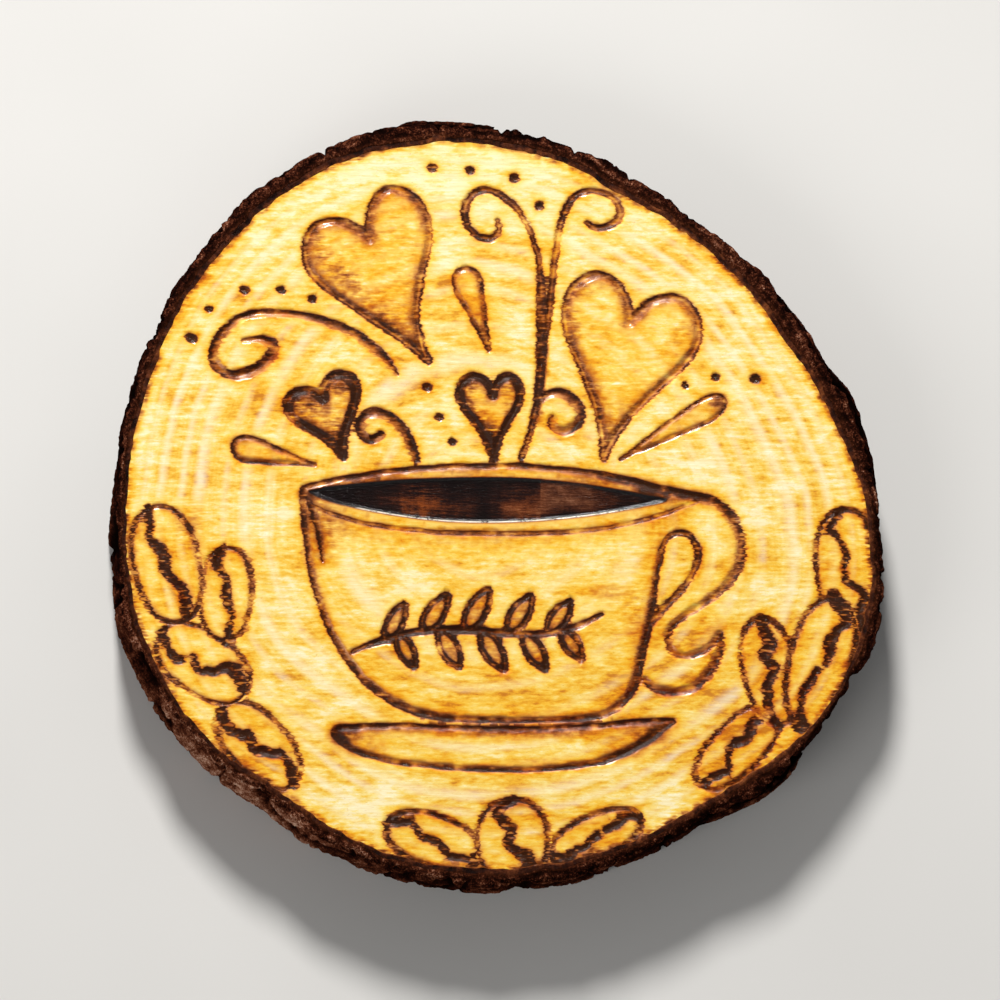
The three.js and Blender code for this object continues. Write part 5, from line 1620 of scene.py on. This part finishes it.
def build_inner_bark():
    stack = RingStack()
    wood, outside = wood_radius(THETA), inner_radius(THETA)
    for k in range(7):
        s = k / 6
        radius = wood + (outside - wood) * s
        fibre = around(TURN, 700, radius * 1.2, 81)
        lump = around(TURN, 180, radius * 2.0, 82)
        swell = (0.05 * fibre + 0.07 * lump) * math.sin(math.pi * min(s + 0.08, 1.0))
        stack.add(radius, TOP - 0.10 - 0.05 * s + swell, 0.6 * fibre + 0.5 * lump, s)
    for z in (6.0, 2.5):
        stack.add(outside, z, 0, 1)
    for k in range(5):
        s = 1 - k / 4
        swell = 0.03 * np.abs(around(TURN, 400, s * 3, 83)) * math.sin(math.pi * s)
        stack.add(wood + (outside - wood) * s, 0.03 + swell, 0, s)
    for z in (3.0, 7.0):
        stack.add(wood, z, 0, 0)
    light = (-0.10 + 0.10 * around(TURN, 14, 0.5, 84) + 0.10 * lobe(THETA, 320, 60)
             + 0.06 * lobe(THETA, 60, 40))
    stack.build("bark_inner", "inner_bark", np.tile(light, len(stack.rows)), MAT_INNER)


def build_scale(place_name, centre, half_span, low, high, seed, light, thick=0.62):
    """A flake of old bark on the outside, thinning to a ragged edge that has sprung a little.
    centre and half_span are in degrees, low and high are its z range."""
    columns, rows = 84, 34
    u, v = np.meshgrid(np.linspace(-1, 1, columns), np.linspace(-1, 1, rows), indexing="ij")
    # the ragged outline: each row and column reaches a different distance
    reach_u = 1 + 0.26 * noise(v * 2.1 + np.sign(u) * 5, 0.3, seed) + 0.10 * noise(v * 7, 1.3, seed)
    reach_v = 1 + 0.26 * noise(u * 2.7 + np.sign(v) * 5, 2.3, seed) + 0.12 * noise(u * 9, 3.3, seed)
    theta = np.radians(centre + half_span * u * reach_u)
    z = (low + high) / 2 + (high - low) / 2 * v * reach_v * (1 - 0.28 * np.abs(u) ** 3)
    z = np.minimum(z, TOP - 0.35)
    edge = np.minimum(1 - np.abs(u), (1 - np.abs(v)) * 1.4)
    body = smoothstep(0.0, 0.30, edge)
    under = bark_radius(theta) + side_relief(theta, z) + flare(theta, z)
    layers = noise(theta * 40, z * 0.9, seed + 1)
    grain = fractal(theta * 90, z * 1.1, 3, seed + 2)
    spring = 0.22 * (1 - smoothstep(0.0, 0.5, edge))
    spring = spring * smoothstep(-0.4, 0.5, noise(u * 2, v * 2, seed + 3))
    mean = bark_radius(theta) - 0.05 + flare(theta, z)
    outer = mean + thick * (0.25 + 0.75 * body) + 0.10 * layers + 0.12 * grain + spring
    outer = np.maximum(outer, under + 0.06 + 0.10 * body)
    inner = np.minimum(under - 0.10, outer - 0.10) + spring * 0.8
    inner = np.where(edge <= 1e-9, outer - 0.02, inner)
    verts = np.vstack([
        np.column_stack([(r * np.cos(theta)).ravel(), (r * np.sin(theta)).ravel(), z.ravel()])
        for r in (outer, inner)])
    count = columns * rows
    ids = np.arange(count).reshape(columns, rows)
    quads = np.column_stack([ids[:-1, :-1].ravel(), ids[1:, :-1].ravel(), ids[1:, 1:].ravel(),
                             ids[:-1, 1:].ravel()])
    loop = np.concatenate([ids[:, 0], ids[-1, 1:], ids[-2::-1, -1], ids[0, -2:0:-1]])
    after = np.roll(loop, -1)
    sides = np.column_stack([loop, loop + count, after + count, after])
    relief = (layers * 0.6 + grain * 0.8 - 0.4 * (1 - body)).ravel()
    attrs = {"relief": np.concatenate([relief, np.full(count, -0.8)]),
             "layer": np.ones(2 * count), "light": np.full(2 * count, light)}
    build("scale_" + place_name, "bark_scale_" + place_name, verts,
          np.vstack([quads, quads[:, ::-1] + count, sides]), attrs, MAT_SCALE)


build_outer_bark()
build_inner_bark()
build_scale("right", centre=20, half_span=15, low=3.2, high=8.7, seed=91, light=0.0)
build_scale("lower_right", centre=-49, half_span=8, low=4.6, high=9.0, seed=92, light=0.05)
build_scale("top", centre=98, half_span=6, low=5.2, high=9.0, seed=93, light=0.0)

# ------------------------------------------------------------------ floor, lights, camera
# sizes and places from here on are metres

scene = bpy.context.scene


def build_floor():
    mesh = bpy.data.meshes.new("floor")
    mesh.from_pydata([(-3, -3, 0), (3, -3, 0), (3, 3, 0), (-3, 3, 0)], [], [(0, 1, 2, 3)])
    floor = bpy.data.objects.new("floor", mesh)
    scene.collection.objects.link(floor)
    mesh.materials.append(floor_material())


def disk_light(name, at, size, energy, colour):
    data = bpy.data.lights.new(name, "AREA")
    data.shape, data.size, data.energy, data.color = "DISK", size, energy, colour
    light = bpy.data.objects.new(name, data)
    light.location = at
    aim = Vector((0, 0, 0.01)) - Vector(at)
    light.rotation_euler = aim.to_track_quat("-Z", "Y").to_euler()
    scene.collection.objects.link(light)


def build_world():
    """A studio brightest low down, so that the varnish doesn't mirror a white ceiling."""
    world = bpy.data.worlds.new("studio")
    world.use_nodes = True
    tree = world.node_tree
    coords = tree.nodes.new("ShaderNodeTexCoord")
    split = tree.nodes.new("ShaderNodeSeparateXYZ")
    ramp = tree.nodes.new("ShaderNodeValToRGB")
    for stop, position, grey in zip(ramp.color_ramp.elements, (0.30, 0.92), (0.42, 0.06)):
        stop.position, stop.color = position, (grey, grey, grey, 1)
    background = tree.nodes["Background"]
    tree.links.new(coords.outputs["Generated"], split.inputs[0])
    tree.links.new(split.outputs[2], ramp.inputs[0])
    tree.links.new(ramp.outputs[0], background.inputs[0])
    background.inputs[1].default_value = 1.0
    scene.world = world


def build_camera(view_width=0.1163, lens=300, sensor=36):
    """A long lens almost straight above, leaning 6 degrees towards -X -Y."""
    data = bpy.data.cameras.new("camera")
    data.sensor_width, data.lens = sensor, lens
    data.clip_start, data.clip_end = 0.01, 20
    camera = bpy.data.objects.new("camera", data)
    scene.collection.objects.link(camera)
    lean, heading = math.radians(6.0), math.radians(228)
    back = Vector((math.sin(lean) * math.cos(heading), math.sin(lean) * math.sin(heading),
                   math.cos(lean)))
    target = Vector((-0.00005, 0.00038, 0.010))
    right = Vector((0, 1, 0)).cross(back).normalized()
    matrix = Matrix((right, back.cross(right), back)).transposed().to_4x4()
    matrix.translation = target + back * (view_width * lens / sensor)
    camera.matrix_world = matrix
    scene.camera = camera


build_floor()
disk_light("key", at=(-0.10, 0.62, 0.46), size=0.15, energy=8.0, colour=(1.0, 0.985, 0.96))
disk_light("fill", at=(-0.60, -0.45, 0.50), size=0.5, energy=1.8, colour=(1.0, 0.98, 0.96))
build_world()
scene.view_settings.view_transform = "Standard"
scene.view_settings.look = "None"
build_camera()

bpy.context.view_layer.update()
